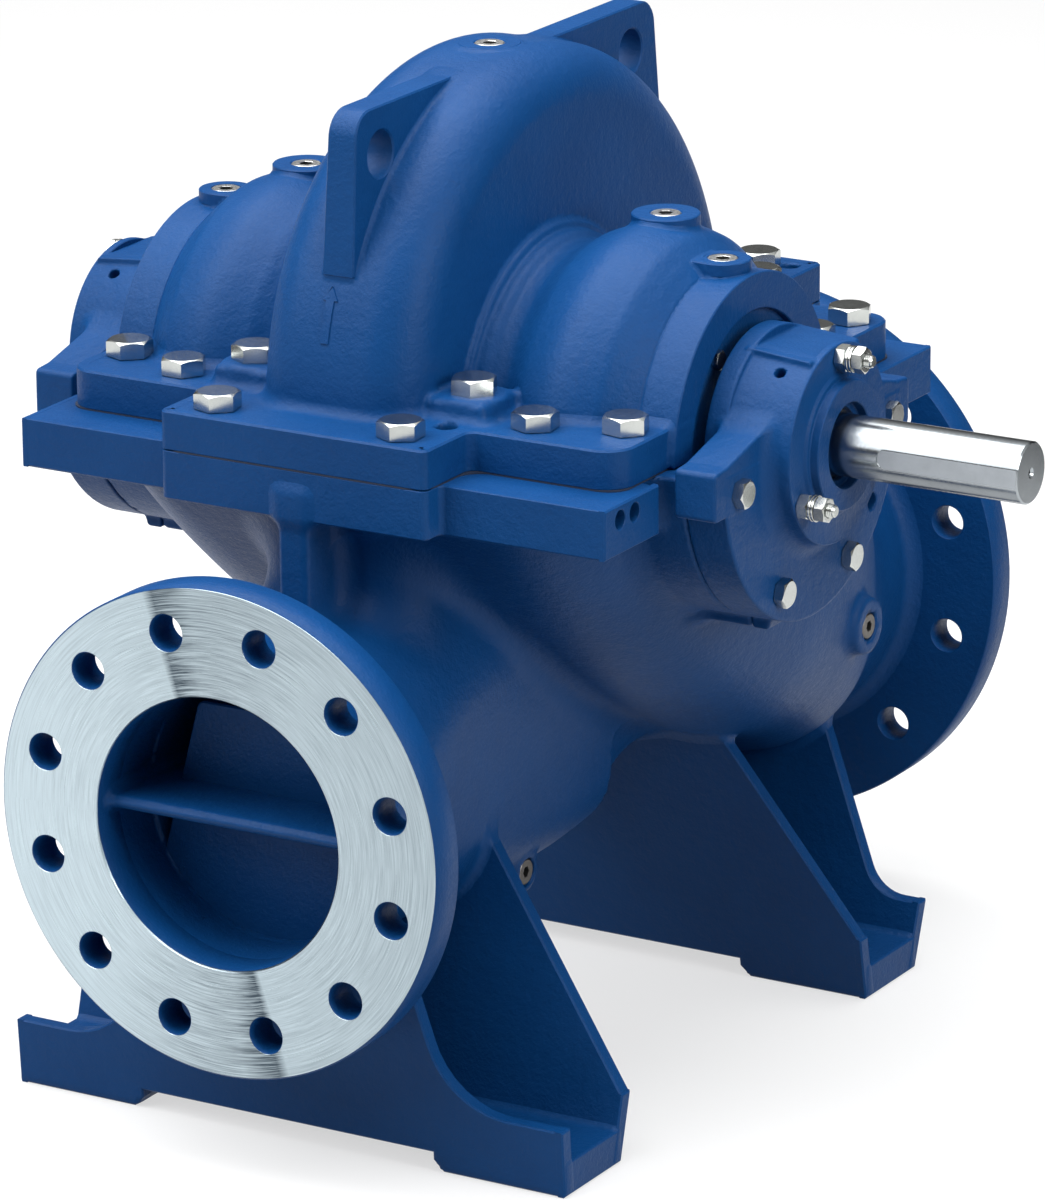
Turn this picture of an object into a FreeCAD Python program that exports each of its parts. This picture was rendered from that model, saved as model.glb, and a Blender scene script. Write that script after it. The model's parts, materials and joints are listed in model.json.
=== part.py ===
# Horizontal split case pump, double suction, bare shaft end.
# Millimetres.  X runs along the shaft towards the drive end, -Y is the
# discharge side, +Y the suction side, +Z is up.  The origin lies on the plane
# the feet stand on, under the middle of the volute.
import FreeCAD, Part
import os
import re
import Sketcher

V = FreeCAD.Vector
X_AXIS, Y_AXIS, Z_AXIS = V(1, 0, 0), V(0, 1, 0), V(0, 0, 1)
doc = FreeCAD.newDocument("split_case_pump")

# Driving dimensions, one row each.
sheet = doc.addObject("Spreadsheet::Sheet", "Sizes")
DIMENSIONS = [
    # casing and its split flange
    ("shaft_height", 495), ("gasket_thickness", 1), ("wall", 14),
    ("flange_upper", 28.5), ("flange_lower", 36),
    ("centre_half_width", 110), ("centre_front", 246), ("centre_rear", 338),
    ("wing_upper", 230), ("wing_front_upper", 186), ("wing_rear_upper", 228),
    ("wing_lower", 242), ("wing_front_lower", 226), ("wing_rear_lower", 262),
    ("flange_corner", 18), ("lower_corner", 9), ("wing_gap", 150),
    ("front_rib", 25), ("raised_pad", 15),
    # volute
    ("volute_radius", 198), ("volute_growth", 50), ("volute_half_width", 68),
    ("rim_rounding", 40), ("passage_bevel", 20),
    # suction chambers, seal housings and the barrel that carries a bearing housing
    ("collar_radius", 139), ("collar_end", 77), ("neck_radius", 121), ("neck_place", 96),
    ("dome_radius", 140), ("dome_place", 152), ("housing_radius", 115), ("housing_start", 204),
    ("housing_end", 234), ("seal_bore", 88), ("barrel_radius", 131), ("barrel_start", 190),
    ("barrel_end", 251), ("eye_opening", 89), ("chamber_half_length", 214),
    # nozzles
    ("nozzle_height", 257), ("discharge_face", 352), ("discharge_bore", 100),
    ("discharge_rim", 180), ("discharge_pitch", 147.5), ("discharge_thickness", 30),
    ("suction_face", 458), ("suction_bore", 125), ("suction_rim", 212.5),
    ("suction_pitch", 177.5), ("suction_thickness", 28), ("bolt_hole", 13),
    ("splitter_thickness", 16),
    # feet
    ("foot_half_length", 231), ("foot_inner", 187), ("foot_outer", 267), ("foot_base", 25),
    ("foot_wall", 12), ("foot_wall_height", 50), ("pad_inner", 131), ("pad_relief", 14),
    ("foot_hole_place", 195), ("foot_hole_line", 227), ("foot_hole", 11),
    # rotor
    ("shaft_tip", 455), ("shaft_radius", 22.5), ("journal_radius", 27.5),
    ("shaft_body", 32), ("sleeve_radius", 42), ("sleeve_start", 60), ("nut_start", 230),
    ("nut_end", 240), ("nut_radius", 46), ("key_width", 14), ("key_depth", 1.15),
    ("key_start", 345), ("impeller_radius", 160), ("rim_half_width", 22),
    ("eye_radius", 84), ("hub_radius", 50),
    # bearing housings and their covers
    ("bracket_front", 284), ("bracket_bore", 52), ("spigot_start", 238), ("spigot_radius", 80),
    ("hub_back_radius", 77), ("hub_front_radius", 73), ("hub_flat", 70), ("arm_reach", 145.5),
    ("arm_top", 11), ("arm_bottom", 24.5), ("cover_seat", 293), ("cap_front", 303),
    ("cover_front", 312), ("cover_rim", 47), ("cover_bore", 31),
    ("bearing_radius", 60), ("bearing_start", 261),
    # lifting lugs and plug bosses
    ("lug_crown", 36), ("lug_thickness", 26), ("lug_hole", 18), ("plug_radius", 13.5),
    ("drain_plug_radius", 10),
]
for row, (alias, value) in enumerate(DIMENSIONS, start=1):
    sheet.set("A%d" % row, alias)
    sheet.set("B%d" % row, str(value))
    sheet.setAlias("B%d" % row, alias)
doc.recompute()

ENDS = (("drive_end", 1), ("free_end", -1))
WORDS = {alias for alias, value in DIMENSIONS}


def size(alias):
    """Value of one cell of the sheet."""
    return float(sheet.get(alias))


def cells(formula):
    """Formula with each word written as a reference to its cell."""
    return re.sub(r"[a-z_]+", lambda found: "Sizes." + found.group()
                  if found.group() in WORDS else found.group(), formula)


def worth(formula):
    """Number that a formula of the sheet's words gives now."""
    return float(sheet.evalExpression(cells(formula)))


def origin_plane(body, role):
    """The body's own plane of that role, such as XY_Plane."""
    return next(item for item in body.Origin.OriginFeatures if item.Role == role)


def new_body(label, mirrored=False, lift="shaft_height"):
    """Body on the shaft line, or turned half round for the other end."""
    body = doc.addObject("PartDesign::Body", label)
    body.Label = label
    if mirrored:
        body.Placement = FreeCAD.Placement(V(0, 0, 0), FreeCAD.Rotation(Z_AXIS, 180))
    body.setExpression(".Placement.Base.z", cells(lift))
    return body


def outline(body, role, name, corners, shift=None):
    """Closed straight-sided sketch; each corner is a pair of formulas."""
    sketch = body.newObject("Sketcher::SketchObject", body.Label + "_" + name)
    sketch.AttachmentSupport = [(origin_plane(body, role), "")]
    sketch.MapMode = "FlatFace"
    if shift:
        sketch.setExpression(".AttachmentOffset.Base.z", cells(shift))
    points = [V(worth(across), worth(up), 0) for across, up in corners]
    for start, end in zip(points, points[1:] + points[:1]):
        sketch.addGeometry(Part.LineSegment(start, end))
    count = len(points)
    for number in range(count):
        sketch.addConstraint(Sketcher.Constraint("Coincident", number, 2, (number + 1) % count, 1))
    for number, (across, up) in enumerate(corners):
        for kind, formula, value in (("DistanceX", across, points[number].x),
                                     ("DistanceY", up, points[number].y)):
            index = sketch.addConstraint(Sketcher.Constraint(kind, -1, 1, number, 1, value))
            sketch.setExpression("Constraints[%d]" % index, cells(formula))
    return sketch


def disc(body, role, name, places, radius, shift=None):
    """Sketch of like circles; each place is a pair of formulas."""
    sketch = body.newObject("Sketcher::SketchObject", body.Label + "_" + name)
    sketch.AttachmentSupport = [(origin_plane(body, role), "")]
    sketch.MapMode = "FlatFace"
    if shift:
        sketch.setExpression(".AttachmentOffset.Base.z", cells(shift))
    for number, (across, up) in enumerate(places):
        centre = V(worth(across), worth(up), 0)
        sketch.addGeometry(Part.Circle(centre, Z_AXIS, worth(radius)))
        for kind, formula, value in (("DistanceX", across, centre.x), ("DistanceY", up, centre.y)):
            index = sketch.addConstraint(Sketcher.Constraint(kind, -1, 1, number, 3, value))
            sketch.setExpression("Constraints[%d]" % index, cells(formula))
        index = sketch.addConstraint(Sketcher.Constraint("Radius", number, worth(radius)))
        sketch.setExpression("Constraints[%d]" % index, cells(radius))
    return sketch


def pad(body, sketch, length, midplane=False, backwards=False):
    """Pad of the sketch, its length a formula."""
    feature = body.newObject("PartDesign::Pad", sketch.Name + "_pad")
    feature.Profile = sketch
    feature.Midplane = midplane
    feature.Reversed = backwards
    feature.setExpression("Length", cells(length))
    sketch.Visibility = False
    return feature


def pocket(body, sketch, length=None, midplane=False, backwards=False):
    """Pocket of the sketch, through everything where no length is given."""
    feature = body.newObject("PartDesign::Pocket", sketch.Name + "_pocket")
    feature.Profile = sketch
    feature.Midplane = midplane
    feature.Reversed = backwards
    if length:
        feature.setExpression("Length", cells(length))
    else:
        feature.Type = "ThroughAll"
    return feature


def turned(body, name, corners):
    """Revolution about the body's X axis; corners are (along, radius) formulas."""
    sketch = outline(body, "XZ_Plane", name, corners)
    feature = body.newObject("PartDesign::Revolution", sketch.Name + "_turned")
    feature.Profile = sketch
    feature.ReferenceAxis = (sketch, ["H_Axis"])
    feature.Angle = 360
    return feature


def ring(label, mirrored, inner, outer, start, end):
    """Plain ring on the shaft line between two places along it."""
    body = new_body(label, mirrored)
    turned(body, "profile", [(start, inner), (end, inner), (end, outer), (start, outer)])
    return body


def solid(label, shape):
    """Form worked out from the sheet where no feature suits it."""
    feature = doc.addObject("Part::Feature", label)
    feature.Shape = shape
    feature.Placement = FreeCAD.Placement()
    return feature


def fused(label, pieces):
    """Union of objects of this document."""
    union = doc.addObject("Part::MultiFuse", label)
    union.Shapes = pieces
    union.Refine = True
    return union


def cut(label, base, tool):
    """Difference of two objects of this document."""
    result = doc.addObject("Part::Cut", label)
    result.Base = base
    result.Tool = tool
    result.Label = label
    return result


def shared(label, pieces):
    """Part that all the objects have in common."""
    common = doc.addObject("Part::MultiCommon", label)
    common.Shapes = pieces
    return common


def bar(label, place, along, radius, length):
    """Part::Cylinder with its foot at a place of three formulas, along an axis."""
    cylinder = doc.addObject("Part::Cylinder", label)
    turn = FreeCAD.Rotation(Z_AXIS, along)
    cylinder.Placement = FreeCAD.Placement(V(0, 0, 0), turn)
    for axis, formula in zip("xyz", place):
        cylinder.setExpression(".Placement.Base." + axis, cells(formula))
    cylinder.setExpression("Radius", cells(radius))
    cylinder.setExpression("Height", cells(length))
    return cylinder


def block(label, place, sides):
    """Part::Box from its low corner and three sides, all formulas."""
    box = doc.addObject("Part::Box", label)
    for axis, formula in zip("xyz", place):
        box.setExpression(".Placement.Base." + axis, cells(formula))
    for side, formula in zip(("Length", "Width", "Height"), sides):
        box.setExpression(side, cells(formula))
    return box


# Volute: a spiral round the shaft line that leaves straight towards the discharge.
def spiral(reach, growth):
    """Four-centre spiral in the YZ plane, from the discharge side over the top."""
    line = size("shaft_height")
    step = growth / 2
    centres = [V(0, step, line + step), V(0, step, line - step), V(0, -step, line - step)]
    quarter = [V(0, -1, 0), V(0, 0, 1), V(0, 1, 0), V(0, 0, -1)]
    arcs = []
    for number, centre in enumerate(centres):
        radius = reach + step + growth * number
        begin = centre + quarter[number] * radius
        end = centre + quarter[number + 1] * radius
        middle = centre + (quarter[number] + quarter[number + 1]).normalize() * radius
        arcs.append(Part.Arc(begin, middle, end).toShape())
    return arcs


def volute_prism(inset):
    """Volute with square rims, drawn in from its outside, and its half width."""
    arcs = spiral(size("volute_radius") - inset, size("volute_growth"))
    start = arcs[0].Vertexes[0].Point
    end = arcs[-1].Vertexes[-1].Point
    front = V(0, start.y, end.z)
    profile = Part.Wire(arcs + [Part.makeLine(end, front), Part.makeLine(front, start)])
    half = size("volute_half_width") - inset
    form = Part.Face(profile).extrude(V(2 * half, 0, 0))
    form.translate(V(-half, 0, 0))
    return form, half


def rim_edges(form, half):
    """Curved edges of the volute's two flat sides."""
    return [edge for edge in form.Edges if edge.Curve.TypeId == "Part::GeomCircle"
            and all(abs(abs(vertex.X) - half) < 0.01 for vertex in edge.Vertexes)]


def volute_form():
    """Outside of the volute, its rims rounded."""
    form, half = volute_prism(0)
    return form.makeFillet(size("rim_rounding"), rim_edges(form, half))


def volute_space():
    """Water passage of the volute, its rims bevelled."""
    form, half = volute_prism(size("wall"))
    return form.makeChamfer(size("passage_bevel"), rim_edges(form, half))


# Ducts: lofts through rounded rectangles across the Y axis.
def frame_wire(place, half, low, high, corner, bevelled):
    """Rectangle across the Y axis, its corners rounded or bevelled."""
    middle = (low + high) / 2
    rise = (high - low) / 2
    corner = min(corner, 0.85 * half, 0.85 * rise)
    spots = [(half, rise - corner), (half - corner, rise), (corner - half, rise),
             (-half, rise - corner), (-half, corner - rise), (corner - half, -rise),
             (half - corner, -rise), (half, corner - rise)]
    points = [V(across, place, middle + up) for across, up in spots]
    if bevelled:
        return Part.makePolygon(points + points[:1])
    slant = corner * (1 - 0.5 ** 0.5)
    bends = [(half - slant, rise - slant), (slant - half, rise - slant),
             (slant - half, slant - rise), (half - slant, slant - rise)]
    edges = []
    for number, (across, up) in enumerate(bends):
        begin, end = points[2 * number], points[2 * number + 1]
        edges.append(Part.Arc(begin, V(across, place, middle + up), end).toShape())
        edges.append(Part.makeLine(end, points[(2 * number + 2) % 8]))
    return Part.Wire(edges)


def duct(sections, bevelled=False):
    """Solid through the sections, straight from each to the next."""
    return Part.makeLoft([frame_wire(*section, bevelled) for section in sections], True, True)


def drawn_in(section, ceiling):
    """Section of the passage inside a section of the outside, below a ceiling."""
    place, half, low, high, corner = section
    wall = size("wall")
    return (place, half - wall, low + wall, min(high - wall, ceiling), 0.7 * corner)


def hub_section(place, radius):
    """Rounded square that lies inside a round hub or bore of that radius."""
    height = size("nozzle_height")
    half = 0.86 * radius
    return (place, half, height - half, height + half, 0.6 * radius)


def discharge_sections():
    """Outside of the discharge duct, from the volute's foot out to the flange."""
    foot = size("shaft_height") - size("volute_radius") - 3 * size("volute_growth")
    half = size("volute_half_width")
    centre = size("nozzle_height")
    return [(40, half + 10, foot, foot + 150, 45), (-70, half + 20, foot - 2, centre + 112, 60),
            (-160, half + 29, foot - 2, centre + 126, 78),
            (-250, half + 38, foot, centre + 112, 100)]


def suction_sections():
    """Outside of the suction branch, from near its flange round both sides of the volute."""
    half = size("chamber_half_length")
    line = size("shaft_height")
    centre = size("nozzle_height")
    return [(335, half - 54, centre - 131, centre + 153, 125), (250, half - 17, centre - 100, line - 25, 120),
            (130, half, centre - 48, line + 60, 105), (0, half - 1, centre + 18, line + 90, 98),
            (-110, half - 9, centre + 104, line + 90, 80), (-190, half - 38, centre + 186, line + 90, 30)]


discharge_hub = hub_section(50 - size("discharge_face"), size("discharge_bore") + size("wall"))
discharge_throat = hub_section(50 - size("discharge_face"), size("discharge_bore"))
suction_hub = hub_section(size("suction_face") - 50, size("suction_bore") + size("wall"))
suction_throat = hub_section(size("suction_face") - 50, size("suction_bore"))
ceiling = size("shaft_height") - size("flange_lower") - 6
volute_outside = solid("volute_outside", volute_form())
volute_passage = solid("volute_passage", volute_space())
discharge_outside = solid("discharge_outside", duct(discharge_sections() + [discharge_hub]))
discharge_passage = solid("discharge_passage", duct(
    [drawn_in(section, ceiling) for section in discharge_sections()] + [discharge_throat], True))
suction_outside = solid("suction_outside", duct([suction_hub] + suction_sections()))
suction_space = solid("suction_space", duct(
    [suction_throat] + [drawn_in(section, ceiling) for section in suction_sections()[:-1]], True))
above = block("above_split", ("0 - 600", "0 - 600", "shaft_height + gasket_thickness"),
              ("1200", "1200", "600"))
below = block("below_split", ("0 - 600", "0 - 600", "0"), ("1200", "1200", "shaft_height"))


# Upper suction chambers, turned about the shaft line.
def both_sides(half):
    """Closed profile from its half on the +X side, which starts and ends at X = 0."""
    return half + [("0 - (%s)" % along, radius) for along, radius in reversed(half) if along != "0"]


domes = new_body("suction_domes")
turned(domes, "profile", both_sides([
    ("0", "collar_radius"), ("collar_end", "collar_radius"), ("collar_end", "collar_radius - 9"),
    ("collar_end + 10", "collar_radius - 11"), ("collar_end + 10", "neck_radius"),
    ("neck_place", "neck_radius"), ("dome_place - 34", "dome_radius - 8"), ("dome_place - 8", "dome_radius"),
    ("dome_place + 14", "dome_radius - 1"), ("housing_start - 22", "dome_radius - 8"),
    ("housing_start - 6", "housing_radius + 9"), ("housing_start", "housing_radius"),
    ("housing_end", "housing_radius"), ("housing_end", "0")]))
dome_space = new_body("dome_space")
turned(dome_space, "profile", both_sides([
    ("0", "neck_radius - wall"), ("neck_place", "neck_radius - wall"),
    ("dome_place - 20", "dome_radius - wall"), ("dome_place + 14", "dome_radius - wall"),
    ("housing_start - 14", "housing_radius - 6"), ("housing_start - 14", "0")]))
seal_bores = ring("seal_bores", False, "0", "seal_bore", "0 - barrel_end - 1", "barrel_end + 1")
eye_openings = ring("eye_openings", False, "0", "eye_opening", "0 - volute_half_width - 20",
                    "volute_half_width + 20")


# Split flange.
def flange_plate(label, wing, front, rear, place, thickness, corner):
    """Plate of the split flange, wide in the middle and narrow at the wings."""
    body = new_body(label, lift=place)
    half = [("centre_half_width", "0 - centre_front"), ("centre_half_width", "0 - " + front),
            (wing, "0 - " + front), (wing, "0 - wing_gap"), ("housing_end", "0 - wing_gap"),
            ("housing_end", "wing_gap"), (wing, "wing_gap"), (wing, rear),
            ("centre_half_width", rear), ("centre_half_width", "centre_rear")]
    if worth(wing) < worth("housing_end"):
        half[3:7] = []
    other = [("0 - " + across, up) for across, up in reversed(half)]
    pad(body, outline(body, "XY_Plane", "outline", half + other), thickness)
    doc.recompute()
    upright = [name for name, edge in edges_of(body) if is_upright(edge)
               and abs(edge.Vertexes[0].Y) > size("wing_gap") + 1]
    plate = body.Tip
    rounding = body.newObject("PartDesign::Fillet", label + "_corners")
    rounding.Base = (plate, upright)
    rounding.setExpression("Radius", cells(corner))
    return body


def edges_of(body):
    """Name and edge of each edge of a body."""
    return [("Edge%d" % (number + 1), edge) for number, edge in enumerate(body.Shape.Edges)]


def is_upright(edge):
    """True for an edge along Z."""
    first, last = edge.Vertexes[0].Point, edge.Vertexes[-1].Point
    return abs(first.x - last.x) < 0.01 and abs(first.y - last.y) < 0.01


upper_plate = flange_plate("upper_plate", "wing_upper", "wing_front_upper", "wing_rear_upper",
                           "shaft_height + gasket_thickness", "flange_upper", "flange_corner")
lower_plate = flange_plate("lower_plate", "wing_lower", "wing_front_lower", "wing_rear_lower",
                           "shaft_height - flange_lower", "flange_lower", "lower_corner")

# Lifting lugs, plug bosses and raised bolt pads of the upper casing.
VOLUTE_RISE = "shaft_height + volute_radius"
LUG_TOP = VOLUTE_RISE + " + 9 + lug_crown"
VOLUTE_FOOT = "shaft_height - volute_radius - 3 * volute_growth"
lug_plates = []
for name, corners, hole in (
        ("front_lug", (("0 - 28", LUG_TOP), ("0 - 157", LUG_TOP), ("0 - 169", LUG_TOP + " - 5.5"),
                       ("0 - 175", LUG_TOP + " - 16"), ("0 - 177", LUG_TOP + " - 36"),
                       ("0 - 181", VOLUTE_RISE + " - 80"), ("0 - 140", VOLUTE_RISE + " - 90"),
                       ("0 - 28", VOLUTE_RISE + " - 7")), ("0 - 141", VOLUTE_RISE + " + 9")),
        ("rear_lug", (("95", LUG_TOP), ("229", LUG_TOP), ("241", LUG_TOP + " - 5.5"),
                      ("248", LUG_TOP + " - 16"), ("251", LUG_TOP + " - 31"),
                      ("268", VOLUTE_RISE + " - 103"), ("180", VOLUTE_RISE + " - 127"),
                      ("95", VOLUTE_RISE + " - 7")), ("215", VOLUTE_RISE + " + 10"))):
    lug = new_body(name, lift="0")
    pad(lug, outline(lug, "YZ_Plane", "outline", corners), "lug_thickness", midplane=True)
    pocket(lug, disc(lug, "YZ_Plane", "hole", [hole], "lug_hole"), midplane=True)
    lug_plates.append(lug)

PLUGS = (
    ("volute_vent_plug", ("0", "31.5", VOLUTE_RISE + " + volute_growth + 3"), 23),
    ("drive_end_suction_plug", ("dome_place", "21", "shaft_height + dome_radius + 5"), 25),
    ("free_end_suction_plug", ("0 - dome_place", "21", "shaft_height + dome_radius + 5"), 25),
    ("drive_end_seal_plug", ("housing_start + 5", "1", "shaft_height + housing_radius + 9"), 20),
    ("free_end_seal_plug", ("0 - housing_start - 5", "1", "shaft_height + housing_radius + 9"), 20),
)
bosses, plug_seats = [], []
for name, place, radius in PLUGS:
    across, along, top = place
    bosses.append(bar(name + "_boss", (across, along, top + " - 24"), Z_AXIS, str(radius), "24"))
    plug_seats.append(bar(name + "_seat", (across, along, top + " - 13"), Z_AXIS, "plug_radius", "14"))

raised_pads = []
for end, side in ENDS:
    low = "66" if side > 0 else "0 - 113"
    raised_pads.append(block(end + "_raised_pad", (low, "0 - 171", "shaft_height + gasket_thickness"),
                             ("47", "60", "flange_upper + raised_pad")))

# Upper casing.
upper_outside = shared("upper_outside", [
    above, fused("upper_masses", [volute_outside, domes, upper_plate] + lug_plates + bosses
                 + raised_pads)])
upper_side_space = cut("upper_side_space", dome_space, volute_outside)
upper_hollow = fused("upper_hollow", [upper_side_space, volute_passage, seal_bores, eye_openings]
                     + plug_seats)
upper_casing = cut("upper_casing", upper_outside, upper_hollow)


# Nozzle flanges.
def nozzle_flange(label, along, face, rim, thickness, pitch, bore, hub_length):
    """Round flange with twelve holes straddling the vertical, and its hub."""
    body = new_body(label, lift="nozzle_height")
    outer = disc(body, "XZ_Plane", "rim", [("0", "0")], rim, shift=face)
    pad(body, outer, thickness, backwards=True)
    hub = disc(body, "XZ_Plane", "hub", [("0", "0")], bore + " + wall", shift=face + " - 1")
    pad(body, hub, hub_length, backwards=True)
    first = disc(body, "XZ_Plane", "hole", [(pitch + " * sin(pi / 12)", pitch + " * cos(pi / 12)")],
                 "bolt_hole", shift=face + " + 1")
    holes = pocket(body, first, thickness + " + 2")
    doc.recompute()
    pattern = body.newObject("PartDesign::PolarPattern", label + "_holes")
    pattern.Originals = [holes]
    pattern.Axis = (first, ["N_Axis"])
    pattern.Occurrences = 12
    pattern.Angle = 360
    body.Tip = pattern
    if along > 0:
        body.Placement = FreeCAD.Placement(V(0, 0, 0), FreeCAD.Rotation(Z_AXIS, 180))
        body.setExpression(".Placement.Base.z", cells("nozzle_height"))
    return body


discharge_flange = nozzle_flange("discharge_flange", -1, "discharge_face", "discharge_rim",
                                 "discharge_thickness", "discharge_pitch", "discharge_bore", "69")
suction_flange = nozzle_flange("suction_flange", 1, "suction_face", "suction_rim",
                               "suction_thickness", "suction_pitch", "suction_bore", "53")


# Feet: a base plate with a leaning wall along each of its long edges.
def on_side(side, formula):
    """Formula of a place on the +Y side, or of its mirror image."""
    return formula if side > 0 else "0 - (%s)" % formula


def foot_wall(label, side, near, far, lean, shoulders):
    """Leaning wall between two lines at the ground, cut to its shoulders seen from the front."""
    body = new_body(label, lift="0")
    shift = " + (%s) * nozzle_height" % lean
    section = [(on_side(side, near), "0"), (on_side(side, far), "0"),
               (on_side(side, far + shift), "nozzle_height"), (on_side(side, near + shift), "nozzle_height")]
    pad(body, outline(body, "YZ_Plane", "section", section), "foot_half_length * 2", midplane=True)
    for name, hand in (("right", 1), ("left", -1)):
        waste = [("foot_half_length + 1", "nozzle_height + 1"), ("foot_half_length + 1", "foot_wall_height")]
        waste += shoulders + [(shoulders[-1][0], "nozzle_height + 1")]
        corners = [(on_side(hand, across), up) for across, up in waste]
        pocket(body, outline(body, "XZ_Plane", name, corners), "1200", midplane=True)
    return body


def foot_base(label, side):
    """Base plate of a foot, relieved under its middle, with its holes."""
    body = new_body(label, lift="0")
    near, far = on_side(side, "foot_inner"), on_side(side, "foot_outer")
    plan = [("0 - foot_half_length", near), ("foot_half_length", near),
            ("foot_half_length", far), ("0 - foot_half_length", far)]
    pad(body, outline(body, "XY_Plane", "plan", plan), "foot_base")
    arch = [("0 - pad_inner", "0 - 1"), ("pad_inner", "0 - 1"), ("pad_inner - 8", "pad_relief - 5"),
            ("pad_inner - 8", "pad_relief"), ("8 - pad_inner", "pad_relief"),
            ("8 - pad_inner", "pad_relief - 5")]
    pocket(body, outline(body, "XZ_Plane", "relief", arch), "1200", midplane=True)
    places = [("0 - foot_hole_place", on_side(side, "foot_hole_line")),
              ("foot_hole_place", on_side(side, "foot_hole_line"))]
    pocket(body, disc(body, "XY_Plane", "holes", places, "foot_hole"), "200", midplane=True)
    return body


INNER_SHOULDERS = [("foot_half_length", "foot_wall_height"), ("100", "nozzle_height - 25")]
FRONT_SHOULDERS = [("foot_half_length", "foot_wall_height"), ("155", "foot_wall_height + 2"),
                   ("125", "foot_wall_height + 18"), ("98", "foot_wall_height + 55"),
                   ("70", "nozzle_height")]
REAR_SHOULDERS = [("foot_half_length", "foot_wall_height"), ("208", "foot_wall_height + 4"),
                  ("185", "foot_wall_height + 28"), ("165", "foot_wall_height + 75"),
                  ("120", "nozzle_height")]
feet = []
for name, side, inner_lean, outer_lean, outer_shoulders in (
        ("front_foot", -1, "0 - 0.28", "0.07", FRONT_SHOULDERS),
        ("rear_foot", 1, "0 - 0.2", "0.36", REAR_SHOULDERS)):
    feet.append(foot_base(name + "_base", side))
    feet.append(foot_wall(name + "_inner_wall", side, "foot_inner", "foot_inner + foot_wall",
                          inner_lean, INNER_SHOULDERS))
    feet.append(foot_wall(name + "_outer_wall", side, "foot_outer - foot_wall", "foot_outer",
                          outer_lean, outer_shoulders))

# Lower casing.
barrels = ring("lower_barrels", False, "0", "barrel_radius", "0 - barrel_end", "barrel_end")
rib = block("front_rib_block", ("0 - front_rib * 0.5", "0 - centre_front", "nozzle_height + 60"),
            ("front_rib", "100", "shaft_height - nozzle_height - 60"))
splitter = block("splitter", ("0 - 120", "0 - discharge_face + 40",
                              "nozzle_height - splitter_thickness"),
                 ("240", "discharge_face - 160", "splitter_thickness"))
DRAINS = (
    ("drive_end_drain_plug", ("chamber_half_length - 2", "225", "nozzle_height + 25"), 1, 22),
    ("free_end_drain_plug", ("2 - chamber_half_length", "225", "nozzle_height + 25"), -1, 22),
    ("volute_drain_plug", ("75", "0 - 51", VOLUTE_FOOT + " + 2"), 1, 16),
)
drain_bosses, drain_seats = [], []
for name, place, side, radius in DRAINS:
    face, along, up = place
    direction = V(side, 0, 0)
    root = face + (" - 45" if side > 0 else " + 45")
    floor = face + (" - 9" if side > 0 else " + 9")
    drain_bosses.append(bar(name + "_boss", (root, along, up), direction, str(radius), "45"))
    drain_seats.append(bar(name + "_seat", (floor, along, up), direction, "drain_plug_radius", "10"))

nozzle_hollow = fused("nozzle_hollow", [
    bar("discharge_bore_form", ("0", "0 - discharge_face + 70", "nozzle_height"), V(0, -1, 0),
        "discharge_bore", "80"),
    bar("suction_bore_form", ("0", "suction_face - 80", "nozzle_height"), V(0, 1, 0),
        "suction_bore", "90")])
lower_side_space = cut("lower_side_space", fused("side_spaces", [suction_space, dome_space]),
                       fused("volute_walls", [volute_outside, discharge_outside]))
water_passage = cut("water_passage", fused("passages", [volute_passage, discharge_passage]), splitter)
lower_outside = shared("lower_outside", [
    below, fused("lower_masses", [volute_outside, discharge_outside, suction_outside, barrels,
                                  lower_plate, rib, discharge_flange, suction_flange]
                 + feet + drain_bosses)])
lower_hollow = fused("lower_hollow", [lower_side_space, water_passage, nozzle_hollow, seal_bores,
                                      eye_openings] + drain_seats)
lower_casing = cut("lower_casing", lower_outside, lower_hollow)

# Split gasket, a piece on each side of the shaft.
gasket_sheet = flange_plate("gasket_sheet", "wing_upper", "wing_front_upper", "wing_rear_upper",
                            "shaft_height", "gasket_thickness", "flange_corner")
gasket_whole = cut("gasket_whole", gasket_sheet, fused("gasket_openings", [lower_hollow, upper_hollow]))
gaskets = {}
for name, low in (("front_gasket", "0 - 600"), ("rear_gasket", "0")):
    side_box = block(name + "_side", ("0 - 600", low, "0"), ("1200", "600", "900"))
    gaskets[name] = shared(name, [gasket_whole, side_box])


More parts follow.
